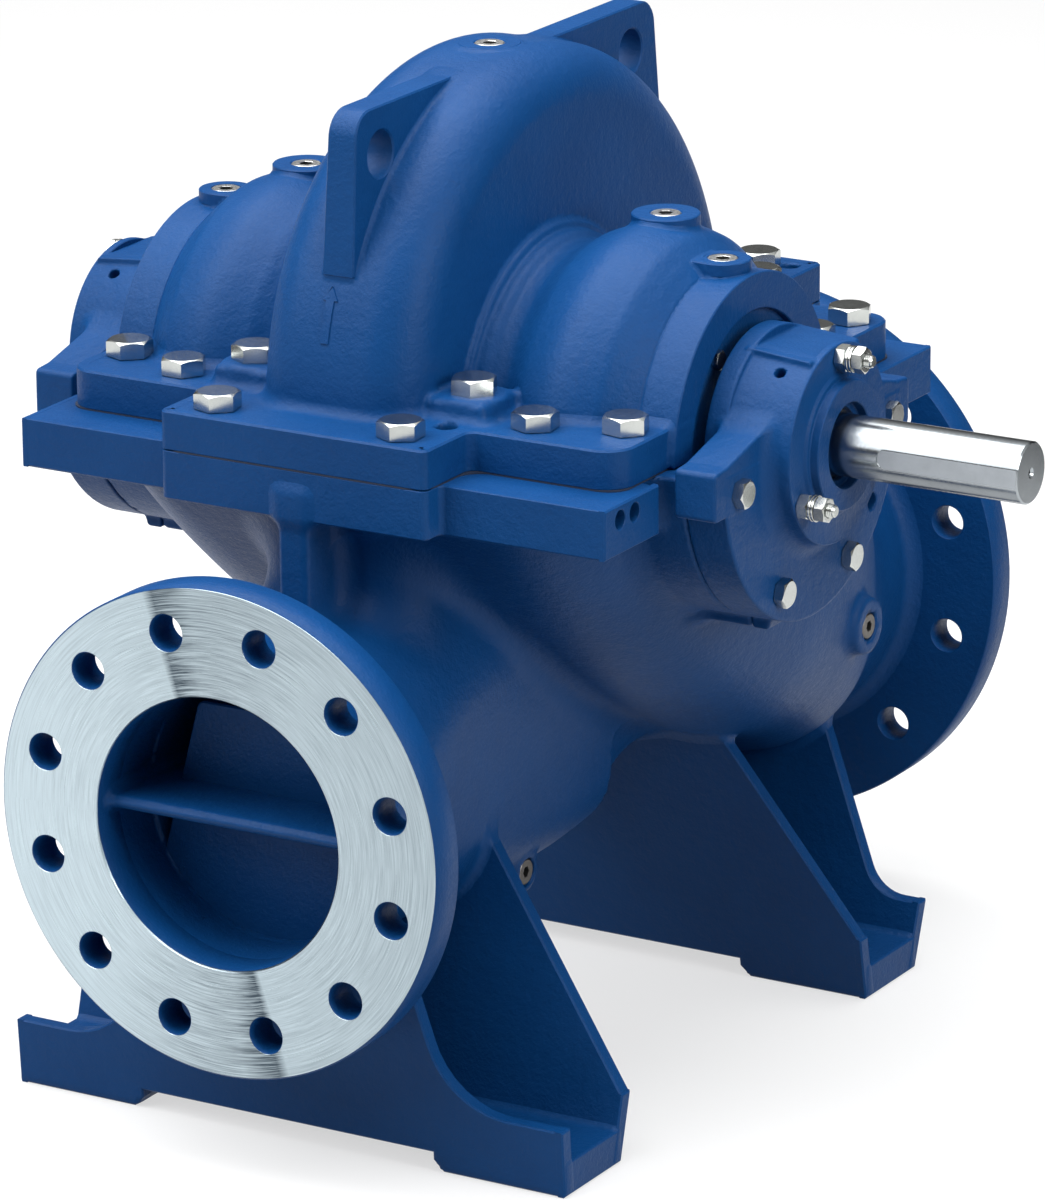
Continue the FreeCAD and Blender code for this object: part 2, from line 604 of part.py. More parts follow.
# Bearing housings, their covers and what they hold.
def bearing_housing(label, mirrored):
    """Bracket with a half-round flange below, two arms and a hub for the bearing."""
    body = new_body(label, mirrored)
    flange = disc(body, "YZ_Plane", "flange", [("0", "0")], "barrel_radius", shift="barrel_end")
    pad(body, flange, "bracket_front - barrel_end")
    waste = outline(body, "YZ_Plane", "waste", [("0 - 140", "0 - 10"), ("140", "0 - 10"),
                                                ("140", "140"), ("0 - 140", "140")],
                    shift="barrel_end - 1")
    pocket(body, waste, "60", backwards=True)
    for name, hand in (("front_arm", -1), ("rear_arm", 1)):
        corners = [("bearing_radius + 4", "0 - arm_bottom"), ("arm_reach", "0 - arm_bottom"),
                   ("arm_reach", "arm_top"), ("arm_reach - 17", "arm_top + 1.5"),
                   ("hub_front_radius - 3", "arm_top + 16"), ("bearing_radius + 4", "arm_top + 16")]
        arm = outline(body, "YZ_Plane", name, [(on_side(hand, y), z) for y, z in corners],
                      shift="barrel_end")
        pad(body, arm, "bracket_front - barrel_end")
    turned(body, "hub", [
        ("spigot_start", "0"), ("cover_seat", "0"), ("cover_seat", "hub_front_radius"),
        ("barrel_end", "hub_back_radius"), ("barrel_end", "spigot_radius"),
        ("spigot_start", "spigot_radius")])
    flat = outline(body, "YZ_Plane", "flat", [
        ("0 - 35", "hub_flat - 10"), ("35", "hub_flat - 10"), ("35", "hub_flat + 2"),
        ("0 - 35", "hub_flat + 2")], shift="barrel_end - 1")
    pad(body, flat, "cover_seat - barrel_end - 1")
    crown = outline(body, "YZ_Plane", "crown", [("0 - 90", "hub_flat"), ("90", "hub_flat"),
                                                ("90", "90"), ("0 - 90", "90")],
                    shift="spigot_start - 1")
    pocket(body, crown, "80", backwards=True)
    for name, radius, start in (("bore", "bracket_bore", "spigot_start - 1"),
                                ("seat", "bearing_radius", "bearing_start")):
        hole = disc(body, "YZ_Plane", name, [("0", "0")], radius, shift=start)
        pocket(body, hole, "80", backwards=True)
    return body


def bearing_cover(label, mirrored, open_bore):
    """Round cover bolted over the bearing, with a hole for the shaft or closed."""
    body = new_body(label, mirrored)
    inside = [("cover_seat", "cover_bore"), ("cover_front", "cover_bore")]
    if not open_bore:
        inside[1:] = [("cap_front + 2", "cover_bore"), ("cap_front + 2", "0"), ("cover_front", "0")]
    turned(body, "profile", inside + [("cover_front", "cover_rim"), ("cap_front", "cover_rim"),
                                      ("cap_front", "hub_front_radius"),
                                      ("cover_seat", "hub_front_radius")])
    return body


parts = {"upper_casing": upper_casing, "lower_casing": lower_casing}
parts.update(gaskets)
for end, side in ENDS:
    mirrored = side < 0
    for piece in (
            bearing_housing(end + "_bearing_housing", mirrored),
            bearing_cover(end + "_bearing_cover", mirrored, side > 0),
            ring(end + "_bearing", mirrored, "journal_radius + 0.05", "bearing_radius",
                 "bearing_start", "cover_seat"),
            ring(end + "_seal_cover", mirrored, "sleeve_radius + 5", "seal_bore",
                 "housing_start + 2", "housing_end - 6")):
        parts[piece.Label] = piece

# Plugs.
for name, place, radius in PLUGS:
    across, along, top = place
    plug = bar(name, (across, along, top + " - 13"), Z_AXIS, "plug_radius", "12")
    plug.Label = name
    parts[name] = plug
for name, place, side, radius in DRAINS:
    face, along, up = place
    floor = face + (" - 9" if side > 0 else " + 9")
    plug = bar(name, (floor, along, up), V(side, 0, 0), "drain_plug_radius", "8")
    plug.Label = name
    parts[name] = plug

# Rotor.
shaft = new_body("shaft")
turned(shaft, "profile", [
    ("0 - cover_seat - 4", "0"), ("shaft_tip", "0"), ("shaft_tip", "shaft_radius - 2"),
    ("shaft_tip - 2", "shaft_radius"), ("cover_seat + 6", "shaft_radius"),
    ("cover_seat + 6", "journal_radius"), ("nut_end + 6", "journal_radius"),
    ("nut_end + 6", "shaft_body"), ("0 - nut_end - 6", "shaft_body"),
    ("0 - nut_end - 6", "journal_radius"), ("0 - cover_seat - 4", "journal_radius")])
# Seat of the half key, which is set flush in the shaft end and one with it.
keyway = outline(shaft, "XZ_Plane", "keyway", [
    ("key_start", "0 - key_width * 0.5"), ("shaft_tip + 1", "0 - key_width * 0.5"),
    ("shaft_tip + 1", "key_width * 0.5"), ("key_start", "key_width * 0.5")],
    shift="shaft_radius - key_depth")
pocket(shaft, keyway, "key_depth + 1", backwards=True)
parts["shaft"] = shaft


def double_suction_impeller():
    """Closed impeller, drawn with its two outlet channels but without its vanes."""
    body = new_body("impeller")
    turned(body, "profile", both_sides([
        ("0", "impeller_radius"), ("5", "impeller_radius"), ("5", "impeller_radius - 34"),
        ("rim_half_width", "impeller_radius - 34"), ("rim_half_width", "impeller_radius"),
        ("rim_half_width + 6", "impeller_radius"), ("rim_half_width + 26", "eye_radius"),
        ("sleeve_start + 4", "eye_radius"), ("sleeve_start + 4", "eye_radius - 7"),
        ("rim_half_width + 10", "eye_radius - 7"), ("rim_half_width + 10", "hub_radius"),
        ("sleeve_start", "hub_radius"), ("sleeve_start", "shaft_body"), ("0", "shaft_body")]))
    return body


parts["impeller"] = double_suction_impeller()
for end, side in ENDS:
    for piece in (ring(end + "_shaft_sleeve", side < 0, "shaft_body", "sleeve_radius",
                       "sleeve_start", "nut_start"),
                  ring(end + "_sleeve_nut", side < 0, "shaft_body", "nut_radius",
                       "nut_start", "nut_end")):
        parts[piece.Label] = piece

# Check and write.
doc.recompute()
for item in doc.Objects:
    if {"Invalid", "Error"} & set(item.State):
        raise SystemExit("failed: " + item.Name)
os.makedirs("parts", exist_ok=True)
for label, item in parts.items():
    shape = item.Shape
    if shape.isNull() or not shape.isValid() or len(shape.Solids) != 1:
        raise SystemExit("bad shape: %s, %d solids" % (label, len(shape.Solids)))
    print("%-28s %10.0f mm3 %4d faces" % (label, shape.Volume, len(shape.Faces)))
for label, item in parts.items():
    item.Shape.exportStep("parts/%s.step" % label)
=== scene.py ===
"""Looks of a horizontal split case pump: cast, painted and machined surfaces with their fasteners.

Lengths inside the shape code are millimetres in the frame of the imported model: X along the shaft,
-Y the discharge side, +Y the suction side, Z up. Meshes are written in metres.
"""

import json
import logging
import math
from abc import ABC, abstractmethod
from dataclasses import dataclass
from enum import Enum
from itertools import count as count_from
from typing import Callable, Optional, Sequence

import bpy
import numpy as np
from mathutils import Matrix, Vector
from mathutils.geometry import tessellate_polygon


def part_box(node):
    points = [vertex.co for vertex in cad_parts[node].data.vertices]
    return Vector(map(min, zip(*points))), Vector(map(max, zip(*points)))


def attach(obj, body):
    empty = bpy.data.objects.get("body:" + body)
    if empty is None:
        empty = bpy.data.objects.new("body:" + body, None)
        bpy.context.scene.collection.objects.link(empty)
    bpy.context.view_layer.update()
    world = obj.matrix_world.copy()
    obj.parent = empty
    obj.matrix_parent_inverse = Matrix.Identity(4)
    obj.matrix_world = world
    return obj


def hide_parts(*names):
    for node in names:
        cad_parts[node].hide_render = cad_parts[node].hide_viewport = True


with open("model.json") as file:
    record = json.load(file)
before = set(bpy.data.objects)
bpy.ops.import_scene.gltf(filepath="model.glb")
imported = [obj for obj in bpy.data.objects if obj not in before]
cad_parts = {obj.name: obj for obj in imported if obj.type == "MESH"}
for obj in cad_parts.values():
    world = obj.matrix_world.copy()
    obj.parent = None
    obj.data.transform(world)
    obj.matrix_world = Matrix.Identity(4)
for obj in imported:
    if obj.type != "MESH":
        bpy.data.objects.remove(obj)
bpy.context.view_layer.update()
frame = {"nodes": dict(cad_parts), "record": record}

logging.basicConfig(level=logging.INFO, format="%(message)s")
log = logging.getLogger("pump")

MM = 0.001
Array = np.ndarray
Field = Callable[[Array, Array, Array], Array]
Socket = bpy.types.NodeSocket
Thing = bpy.types.Object
Pair = tuple[float, float]
Triple = tuple[float, float, float]


# Signed distance forms.


@dataclass(frozen=True)
class Form:
    """A solid given by its signed distance in millimetres, negative inside."""

    distance: Field

    def joined(self, other: "Form", fillet: float = 0.0) -> "Form":
        """Union of two forms with a round fillet in the corner between them.

        Args:
            other: The form to add.
            fillet: Radius of the fillet, 0 for a sharp corner.

        Returns:
            The union.
        """

        def distance(x: Array, y: Array, z: Array) -> Array:
            """Smaller distance, or the fillet less the hypotenuse of what both leave of it."""
            a, b = self.distance(x, y, z), other.distance(x, y, z)
            if fillet <= 0:
                return np.minimum(a, b)
            near = np.hypot(np.maximum(fillet - a, 0), np.maximum(fillet - b, 0))
            return np.maximum(fillet, np.minimum(a, b)) - near

        return Form(distance)

    def within(self, other: "Form", rounding: float = 0.0) -> "Form":
        """Common part of two forms with the edge between them rounded.

        Args:
            other: The form to keep within.
            rounding: Radius of the rounded edge.

        Returns:
            The intersection.
        """

        def distance(x: Array, y: Array, z: Array) -> Array:
            """Larger of the two distances, or the hypotenuse of both less the rounding."""
            a, b = self.distance(x, y, z), other.distance(x, y, z)
            if rounding <= 0:
                return np.maximum(a, b)
            near = np.hypot(np.maximum(rounding + a, 0), np.maximum(rounding + b, 0))
            return np.minimum(-rounding, np.maximum(a, b)) + near

        return Form(distance)

    def without(self, other: "Form", rounding: float = 0.0) -> "Form":
        """This form less another, with the edge between them rounded."""
        return self.within(other.inverse(), rounding)

    def inverse(self) -> "Form":
        """Everything outside this form."""
        return Form(lambda x, y, z: -self.distance(x, y, z))

    def grown(self, by: float) -> "Form":
        """This form with its surface moved outwards."""
        return Form(lambda x, y, z: self.distance(x, y, z) - by)

    def both_ends(self) -> "Form":
        """This form on both sides of the plane across the shaft."""
        return Form(lambda x, y, z: self.distance(np.abs(x), y, z))


def around(a: Array, b: Array) -> Array:
    """Hypotenuse of two distances where both are positive, the larger one elsewhere."""
    return np.hypot(np.maximum(a, 0), np.maximum(b, 0)) + np.minimum(np.maximum(a, b), 0)


def box(low: Triple, high: Triple, rounding: float = 0.0) -> Form:
    """Box between two corners with its edges rounded.

    Args:
        low: Corner with the lowest coordinates.
        high: Corner with the highest.
        rounding: Radius of its edges.

    Returns:
        The box.
    """
    centre = [(a + b) / 2 for a, b in zip(low, high)]
    half = [(b - a) / 2 - rounding for a, b in zip(low, high)]

    def distance(x: Array, y: Array, z: Array) -> Array:
        """Distance to the shrunk box, less the rounding."""
        q = [np.abs(v - c) - h for v, c, h in zip((x, y, z), centre, half)]
        outside = np.sqrt(sum(np.maximum(v, 0) ** 2 for v in q))
        return outside + np.minimum(np.maximum(np.maximum(q[0], q[1]), q[2]), 0) - rounding

    return Form(distance)


def slab(axis: int, low: float, high: float) -> Form:
    """Space between two planes across an axis."""
    middle, half = (low + high) / 2, (high - low) / 2
    return Form(lambda x, y, z: np.abs((x, y, z)[axis] - middle) - half)


def cylinder(axis: int, centre: Pair, radius: float, low: float, high: float,
             rounding: float = 0.0) -> Form:
    """Cylinder along an axis.

    Args:
        axis: 0, 1 or 2 for X, Y or Z.
        centre: Place on the two other axes, in their order.
        radius: Radius.
        low: Lower end along the axis.
        high: Upper end along the axis.
        rounding: Radius of the rounded end edges.

    Returns:
        The cylinder.
    """
    first, second = [i for i in range(3) if i != axis]
    middle, half = (low + high) / 2, (high - low) / 2 - rounding

    def distance(x: Array, y: Array, z: Array) -> Array:
        """Distance to the shrunk cylinder, less the rounding."""
        p = (x, y, z)
        a = np.hypot(p[first] - centre[0], p[second] - centre[1]) - (radius - rounding)
        b = np.abs(p[axis] - middle) - half
        return around(a, b) - rounding

    return Form(distance)


def plan_distance(u: Array, v: Array, corners: Sequence[Pair]) -> Array:
    """Signed distance in a plane to a closed outline of straight sides.

    Args:
        u, v: Places in the plane.
        corners: Corners of the outline.

    Returns:
        Distances, negative inside.
    """
    nearest = np.full(u.shape, np.inf, dtype=u.dtype)
    inside = np.zeros(u.shape, dtype=bool)
    for (u0, v0), (u1, v1) in zip(corners, list(corners[1:]) + [corners[0]]):
        du, dv = u1 - u0, v1 - v0
        share = np.clip(((u - u0) * du + (v - v0) * dv) / (du * du + dv * dv), 0, 1)
        away = (u - u0 - share * du) ** 2 + (v - v0 - share * dv) ** 2
        nearest = np.minimum(nearest, away)
        crosses = (v0 > v) != (v1 > v)
        slope = du / dv if dv else 0.0
        inside ^= crosses & (u < u0 + (v - v0) * slope)
    return np.where(inside, -1, 1) * np.sqrt(nearest)


def plate(axis: int, corners: Sequence[Pair], low: float, high: float, corner: float = 0.0,
          rounding: float = 0.0) -> Form:
    """Plate of an outline, across an axis, with rounded plan corners and rounded edges.

    Args:
        axis: Axis the plate lies across.
        corners: Corners of its outline on the two other axes, in their order.
        low, high: Its two faces along the axis.
        corner: Radius of the plan's corners.
        rounding: Radius of its edges.

    Returns:
        The plate.
    """
    first, second = [i for i in range(3) if i != axis]
    middle, half = (low + high) / 2, (high - low) / 2 - rounding
    inset = corner + rounding

    def distance(x: Array, y: Array, z: Array) -> Array:
        """Plan and height distances joined, less the rounding."""
        p = (x, y, z)
        plan = shrunk_plan(p[first], p[second], corners, inset) - corner
        b = np.abs(p[axis] - middle) - half
        return around(plan, b) - rounding

    return Form(distance)


def shrunk_plan(u: Array, v: Array, corners: Sequence[Pair], inset: float) -> Array:
    """Distance to an outline whose sides are moved in by the inset.

    Args:
        u, v: Places in the plane.
        corners: Corners of the outline.
        inset: How far the sides are moved in.

    Returns:
        Distances, negative inside.
    """
    if inset <= 0:
        return plan_distance(u, v, corners)
    points = [np.array(c, dtype=float) for c in corners]
    area = sum(a[0] * b[1] - a[1] * b[0] for a, b in zip(points, points[1:] + points[:1]))
    turn = 1.0 if area > 0 else -1.0
    moved = []
    for before, here, after in zip(points[-1:] + points[:-1], points, points[1:] + points[:1]):
        sides = []
        for start, end in ((before, here), (here, after)):
            along = (end - start) / np.linalg.norm(end - start)
            sides.append(np.array([-along[1], along[0]]) * turn)
        bisector = sides[0] + sides[1]
        moved.append(tuple(here + bisector * inset / (1 + float(sides[0] @ sides[1]))))
    return plan_distance(u, v, moved)


def outline_of(corners: Sequence[Pair], radii: Sequence[float], inset: float = 0.0,
               steps: int = 8) -> list[Pair]:
    """Outline with rounded corners, drawn in by an inset that keeps the arcs concentric.

    Args:
        corners: Corners in either order.
        radii: Rounding radius at each corner, 0 for a sharp one.
        inset: How far the outline is moved inwards.
        steps: Points on each rounded corner, less one.

    Returns:
        Points, as many for every inset.
    """
    points = [np.array(c, dtype=float) for c in corners]
    area = sum(a[0] * b[1] - a[1] * b[0] for a, b in zip(points, points[1:] + points[:1]))
    turn = 1.0 if area > 0 else -1.0
    result: list[Pair] = []
    for number, here in enumerate(points):
        ahead = points[(number + 1) % len(points)] - here
        back = here - points[number - 1]
        ahead, back = ahead / np.linalg.norm(ahead), back / np.linalg.norm(back)
        first, last = (np.array([v[1], -v[0]]) * turn for v in (back, ahead))
        bisector = (first + last) / (1 + float(first @ last))
        radius = radii[number]
        if radius <= 0:
            result.append(tuple(here - bisector * inset))
            continue
        bulge = 1.0 if (back[0] * ahead[1] - back[1] * ahead[0]) * turn > 0 else -1.0
        centre = here - bisector * radius * bulge
        for share in np.linspace(0, 1, steps + 1):
            normal = first * (1 - share) + last * share
            normal = normal / np.linalg.norm(normal)
            result.append(tuple(centre + normal * bulge * (radius - bulge * inset)))
    return result


def turned(profile: Sequence[Pair], line: float, rounding: float = 0.0) -> Form:
    """Solid of revolution about the shaft line; the profile is (along, radius) corners.

    Args:
        profile: Corners as (along, radius).
        line: Height of the shaft line.
        rounding: Radius of the edges.

    Returns:
        The solid.
    """

    def distance(x: Array, y: Array, z: Array) -> Array:
        """Distance to the profile at (x, radius)."""
        radius = np.hypot(y, z - line)
        return shrunk_plan(x, radius, profile, rounding) - rounding

    return Form(distance)


def eased(places: Sequence[float], values: Sequence[float], at: Array) -> Array:
    """Smooth interpolation that neither overshoots nor leaves the range of its values.

    Args:
        places: Places with known values, rising.
        values: The values there.
        at: Places asked for.

    Returns:
        Values at the places asked for.
    """
    places, values = np.asarray(places, float), np.asarray(values, float)
    step = np.diff(places)
    slope = np.diff(values) / step
    tangent = np.zeros_like(values)
    same = slope[:-1] * slope[1:] > 0
    with np.errstate(divide="ignore", invalid="ignore"):
        mean = 2 * slope[:-1] * slope[1:] / (slope[:-1] + slope[1:])
    tangent[1:-1] = np.where(same, mean, 0.0)
    tangent[0], tangent[-1] = slope[0], slope[-1]
    spot = np.clip(at, places[0], places[-1])
    index = np.clip(np.searchsorted(places, spot, side="right") - 1, 0, len(step) - 1)
    t = (spot - places[index]) / step[index]
    return (values[index] * (1 + 2 * t) * (1 - t) ** 2
            + tangent[index] * step[index] * t * (1 - t) ** 2
            + values[index + 1] * t * t * (3 - 2 * t) + tangent[index
                                                                + 1] * step[index] * t * t * (t
                                                                                              - 1))


@dataclass(frozen=True)
class Section:
    """Rounded rectangle across the Y axis, one station of a duct."""

    place: float
    half: float
    low: float
    high: float
    corner: float

    def drawn_in(self, by: float) -> "Section":
        """This section with every side moved inwards."""
        return Section(self.place, self.half - by, self.low + by, self.high - by, self.corner - by)


def duct(sections: Sequence[Section], inset: float, steepness: float = 1.15) -> Form:
    """Duct along Y through rounded rectangles, changing smoothly between them.

    Args:
        sections: Stations of the duct's outside.
        inset: How far the surface lies inside them.
        steepness: What the distance across is divided by, so that it stays under the true one.

    Returns:
        The duct.
    """
    ordered = sorted((s.drawn_in(inset) for s in sections), key=lambda s: s.place)
    places = [s.place for s in ordered]

    def distance(x: Array, y: Array, z: Array) -> Array:
        """Distance to the rounded rectangle of the point's own station."""
        half = eased(places, [s.half for s in ordered], y)
        low = eased(places, [s.low for s in ordered], y)
        high = eased(places, [s.high for s in ordered], y)
        corner = eased(places, [s.corner for s in ordered], y)
        corner = np.minimum(corner, np.minimum(half, (high - low) / 2))
        a = np.abs(x) - half + corner
        b = np.abs(z - (low + high) / 2) - (high - low) / 2 + corner
        across = around(a, b) - corner
        ends = np.maximum(places[0] - y, y - places[-1])
        return np.maximum(across / steepness, ends)

    return Form(distance)


# Surfaces from forms.


@dataclass(frozen=True)
class Skin:
    """Quads over the surface of a form, with a normal at each point."""

    points: Array
    quads: Array
    normals: Array


def gradient(form: Form, points: Array, reach: float = 0.4) -> Array:
    """Unit direction in which the distance grows, at each point.

    Args:
        form: The form.
        points: Points, one in a row.
        reach: Distance to the points compared on each side.

    Returns:
        Unit directions, one in a row.
    """
    columns = []
    for axis in range(3):
        offset = np.zeros(3)
        offset[axis] = reach
        ahead, behind = (points + offset).T, (points - offset).T
        columns.append(form.distance(*ahead) - form.distance(*behind))
    slope = np.stack(columns, axis=1)
    return slope / np.maximum(np.linalg.norm(slope, axis=1, keepdims=True), 1e-9)


def skin_of(form: Form, low: Triple, high: Triple, step: float) -> Skin:
    """Quads over the surface of a form, by surface nets on a lattice near the surface.

    Args:
        form: The form to cover.
        low: Low corner of the box that holds it.
        high: High corner of that box.
        step: Lattice step, about the size of a quad.

    Returns:
        The skin.
    """
    coarse = 4
    low = np.array(low, float) - 2.5 * step
    cells = (np.ceil((np.array(high) + 2.5 * step - low) / (step * coarse))).astype(int)
    axes = [low[i] + step * coarse * (np.arange(cells[i]) + 0.5) for i in range(3)]
    grid = np.meshgrid(*axes, indexing="ij")
    middle = form.distance(*[g.ravel() for g in grid]).reshape(cells)
    near = np.abs(middle) < step * coarse * 1.25
    inside = np.repeat(np.repeat(np.repeat(middle < 0, coarse, 0), coarse, 1), coarse, 2)
    wanted = np.repeat(np.repeat(np.repeat(near, coarse, 0), coarse, 1), coarse, 2)
    value = np.where(inside, -1e3, 1e3).astype(np.float32)
    spots = np.argwhere(wanted)
    place = low + spots * step
    measured = np.concatenate([form.distance(*part.T) for part in
                               np.array_split(place, max(1, len(place) // 400000))])
    value[tuple(spots.T)] = measured
    inside = value < 0
    count = np.zeros(np.array(inside.shape) - 1, dtype=np.int8)
    corners = [(i, j, k) for i in (0, 1) for j in (0, 1) for k in (0, 1)]
    for i, j, k in corners:
        count += inside[i:inside.shape[0] - 1 + i, j:inside.shape[1] - 1 + j, k:inside.shape[2] - 1
                        + k]
    crossing = (count > 0) & (count < 8)
    cell = np.argwhere(crossing)
    number = np.full(crossing.shape, -1, dtype=np.int64)
    number[tuple(cell.T)] = np.arange(len(cell))
    at = np.stack([value[tuple((cell + np.array(c)).T)] for c in corners], axis=1)
    total, hits = np.zeros((len(cell), 3)), np.zeros(len(cell))
    for a in range(8):
        for b in range(a + 1, 8):
            if sum(p != q for p, q in zip(corners[a], corners[b])) != 1:
                continue
            cut = (at[:, a] < 0) != (at[:, b] < 0)
            share = np.where(cut, at[:, a] / np.where(cut, at[:, a] - at[:, b], 1), 0)
            spot = np.array(corners[a]) + share[:, None] * (np.array(corners[b])
                                                            - np.array(corners[a]))
            total += np.where(cut[:, None], spot, 0)
            hits += cut
    points = low + (cell + total / hits[:, None]) * step
    quads = []
    for axis in range(3):
        u, v = [(1, 2), (2, 0), (0, 1)][axis]
        ahead = np.roll(inside, -1, axis)
        flips = inside != ahead
        sel = [slice(1, -1)] * 3
        sel[axis] = slice(0, -1)
        spots = np.argwhere(flips[tuple(sel)]) + np.array([0 if i == axis else 1 for i in range(3)])
        steps = []
        for du, dv in ((0, 0), (-1, 0), (-1, -1), (0, -1)):
            shift = np.zeros(3, dtype=int)
            shift[u], shift[v] = du, dv
            steps.append(number[tuple((spots + shift).T)])
        quad = np.stack(steps, axis=1)
        outwards = inside[tuple(spots.T)]
        quad[~outwards] = quad[~outwards][:, ::-1]
        quads.append(quad[(quad >= 0).all(axis=1)])
    quads = np.concatenate(quads)
    for _ in range(3):
        normal = gradient(form, points)
        move = np.clip(form.distance(*points.T), -0.5 * step, 0.5 * step)
        points = points - normal * move[:, None] * 0.9
    return Skin(points, quads, gradient(form, points))


@dataclass(frozen=True)
class PumpSizes:
    """Driving sizes of the pump, in millimetres, the ones of the construction."""

    line: float = 495.0
    wall: float = 14.0
    plate_top: float = 524.5
    plate_bottom: float = 459.0
    centre_half: float = 110.0
    centre_front: float = 246.0
    centre_rear: float = 338.0
    wing_upper: float = 230.0
    wing_lower: float = 242.0
    front_upper: float = 186.0
    front_lower: float = 226.0
    rear_upper: float = 228.0
    rear_lower: float = 262.0
    wing_gap: float = 150.0
    spiral: float = 198.0
    growth: float = 50.0
    flank: float = 67.0
    rim: float = 38.0
    throat_half: float = 80.0
    housing_radius: float = 115.0
    housing_start: float = 204.0
    housing_end: float = 234.0
    seal_bore: float = 88.0
    barrel_radius: float = 131.0
    barrel_end: float = 251.0
    nozzle: float = 257.0
    discharge_face: float = 352.0
    discharge_bore: float = 100.0
    discharge_rim: float = 180.0
    discharge_plate: float = 30.0
    suction_face: float = 458.0
    suction_bore: float = 125.0
    suction_rim: float = 212.5
    suction_plate: float = 28.0
    bolt_hole: float = 13.0
    foot_half: float = 231.0
    foot_inner: float = 187.0
    foot_outer: float = 267.0
    foot_base: float = 25.0
    foot_wall: float = 12.0
    foot_edge: float = 50.0
    pad_inner: float = 131.0
    pad_relief: float = 14.0
    crown: float = 746.0
    lug_top: float = 736.5
    lug_half: float = 13.0
    arm_reach: float = 145.5
    bracket_front: float = 284.0
    bracket_bore: float = 52.0
    spigot_radius: float = 80.0
    spigot_start: float = 238.0
    hub_back: float = 77.0
    hub_front: float = 73.0
    cover_seat: float = 293.0
    cap_front: float = 303.0
    cover_front: float = 312.0
    shaft_radius: float = 22.5
    shaft_tip: float = 455.0
    key_floor: float = 21.35
    key_start: float = 345.0
    key_half: float = 7.0


SIZES = PumpSizes()
DISCHARGE_PITCH = 147.5
SUCTION_PITCH = 177.5
WING_HOLES = ((-204.6, 484.0), (-184.3, 484.0))
PORTION = 98000


def volute(inset: float = 0.0) -> Form:
    """Spiral volute that grows over the top and leaves straight towards the discharge.

    Args:
        inset: How far the surface lies inside the casting's outside, the wall for the passage.

    Returns:
        The form.
    """
    s = SIZES

    def round_the_shaft(x: Array, y: Array, z: Array) -> Array:
        """Radius less spiral radius (start + growth x angle), or a rounded quarter square."""
        up, front = z - s.line, -y
        angle = np.mod(np.arctan2(up, front), 2 * math.pi)
        reach = s.spiral + s.growth * angle / (math.pi / 2)
        spiral = (np.hypot(up, front) - reach) * 0.992
        a = -up - (s.spiral + 3 * s.growth) + 90
        b = front - s.spiral + 90
        quarter = around(a, b) - 90
        return np.where(angle > 1.5 * math.pi, quarter, spiral) + inset

    def beside(x: Array, y: Array, z: Array) -> Array:
        """Distance from flanks that draw in with the radius and widen with the drop."""
        radius = np.hypot(y, z - s.line)
        drop = np.clip((s.line - z) / 240, 0, 1)
        half = s.flank - 0.05 * (radius - 150) + 12 * drop * drop * (3 - 2 * drop)
        return (np.abs(x) - half) * 0.99 + inset

    return Form(round_the_shaft).within(Form(beside), max(s.rim - inset, 4.0))


def dome_radius(along: Array) -> Array:
    """Radius of the upper suction dome about the shaft line."""
    return eased([84, 96, 118, 150, 178, 192, 203, 206],
                 [118.5, 119.5, 131.5, 141, 136, 126, 115.4, 113], along)


def suction_domes(inset: float = 0.0) -> Form:
    """Upper suction chambers on both sides of the volute.

    Args:
        inset: How far the surface lies inside the casting's outside.

    Returns:
        The domes.
    """
    s = SIZES

    def distance(x: Array, y: Array, z: Array) -> Array:
        """Radius less the dome's radius at that place."""
        across = np.abs(x)
        radial = (np.hypot(y, z - s.line) - dome_radius(across)) * 0.93
        return np.maximum(radial, across - s.housing_start) + inset

    return Form(distance)


def collars() -> Form:
    """Two-step ring round the root of each suction dome, on the volute's flank.

    Returns:
        The rings.
    """
    line = SIZES.line
    outer = turned([(0, 0), (72, 0), (72, 131.5), (0, 131.5)], line, 3.6)
    inner = turned([(0, 0), (82, 0), (82, 125), (0, 125)], line, 6)
    return outer.joined(inner, 2).both_ends()


def housings() -> Form:
    """Seal housings at both ends."""
    s = SIZES
    return cylinder(0, (0, s.line), s.housing_radius - 0.7, 150, s.housing_end - 0.4,
                    1.5).both_ends()


def discharge_duct(inset: float = 0.0) -> Form:
    """Duct from the throat of the volute to the discharge flange.

    Args:
        inset: How far the surface lies inside the casting's outside.

    Returns:
        The duct.
    """
    s = SIZES
    foot = s.line - s.spiral - 3 * s.growth
    bore = s.discharge_bore + s.wall
    sections = [
        Section(60, s.throat_half - 4, foot, foot + 140, 45),
        Section(0, s.throat_half + 2, foot - 1, 330, 52),
        Section(-80, s.throat_half + 8, foot - 3, 372, 60),
        Section(-170, s.throat_half + 18, 145, 385, 80),
        Section(-250, 108, 144, 374, 104),
        Section(-300, bore, s.nozzle - bore, s.nozzle + bore, bore),
        Section(12 - s.discharge_face, bore, s.nozzle - bore, s.nozzle + bore, bore),
    ]
    return duct(sections, inset)


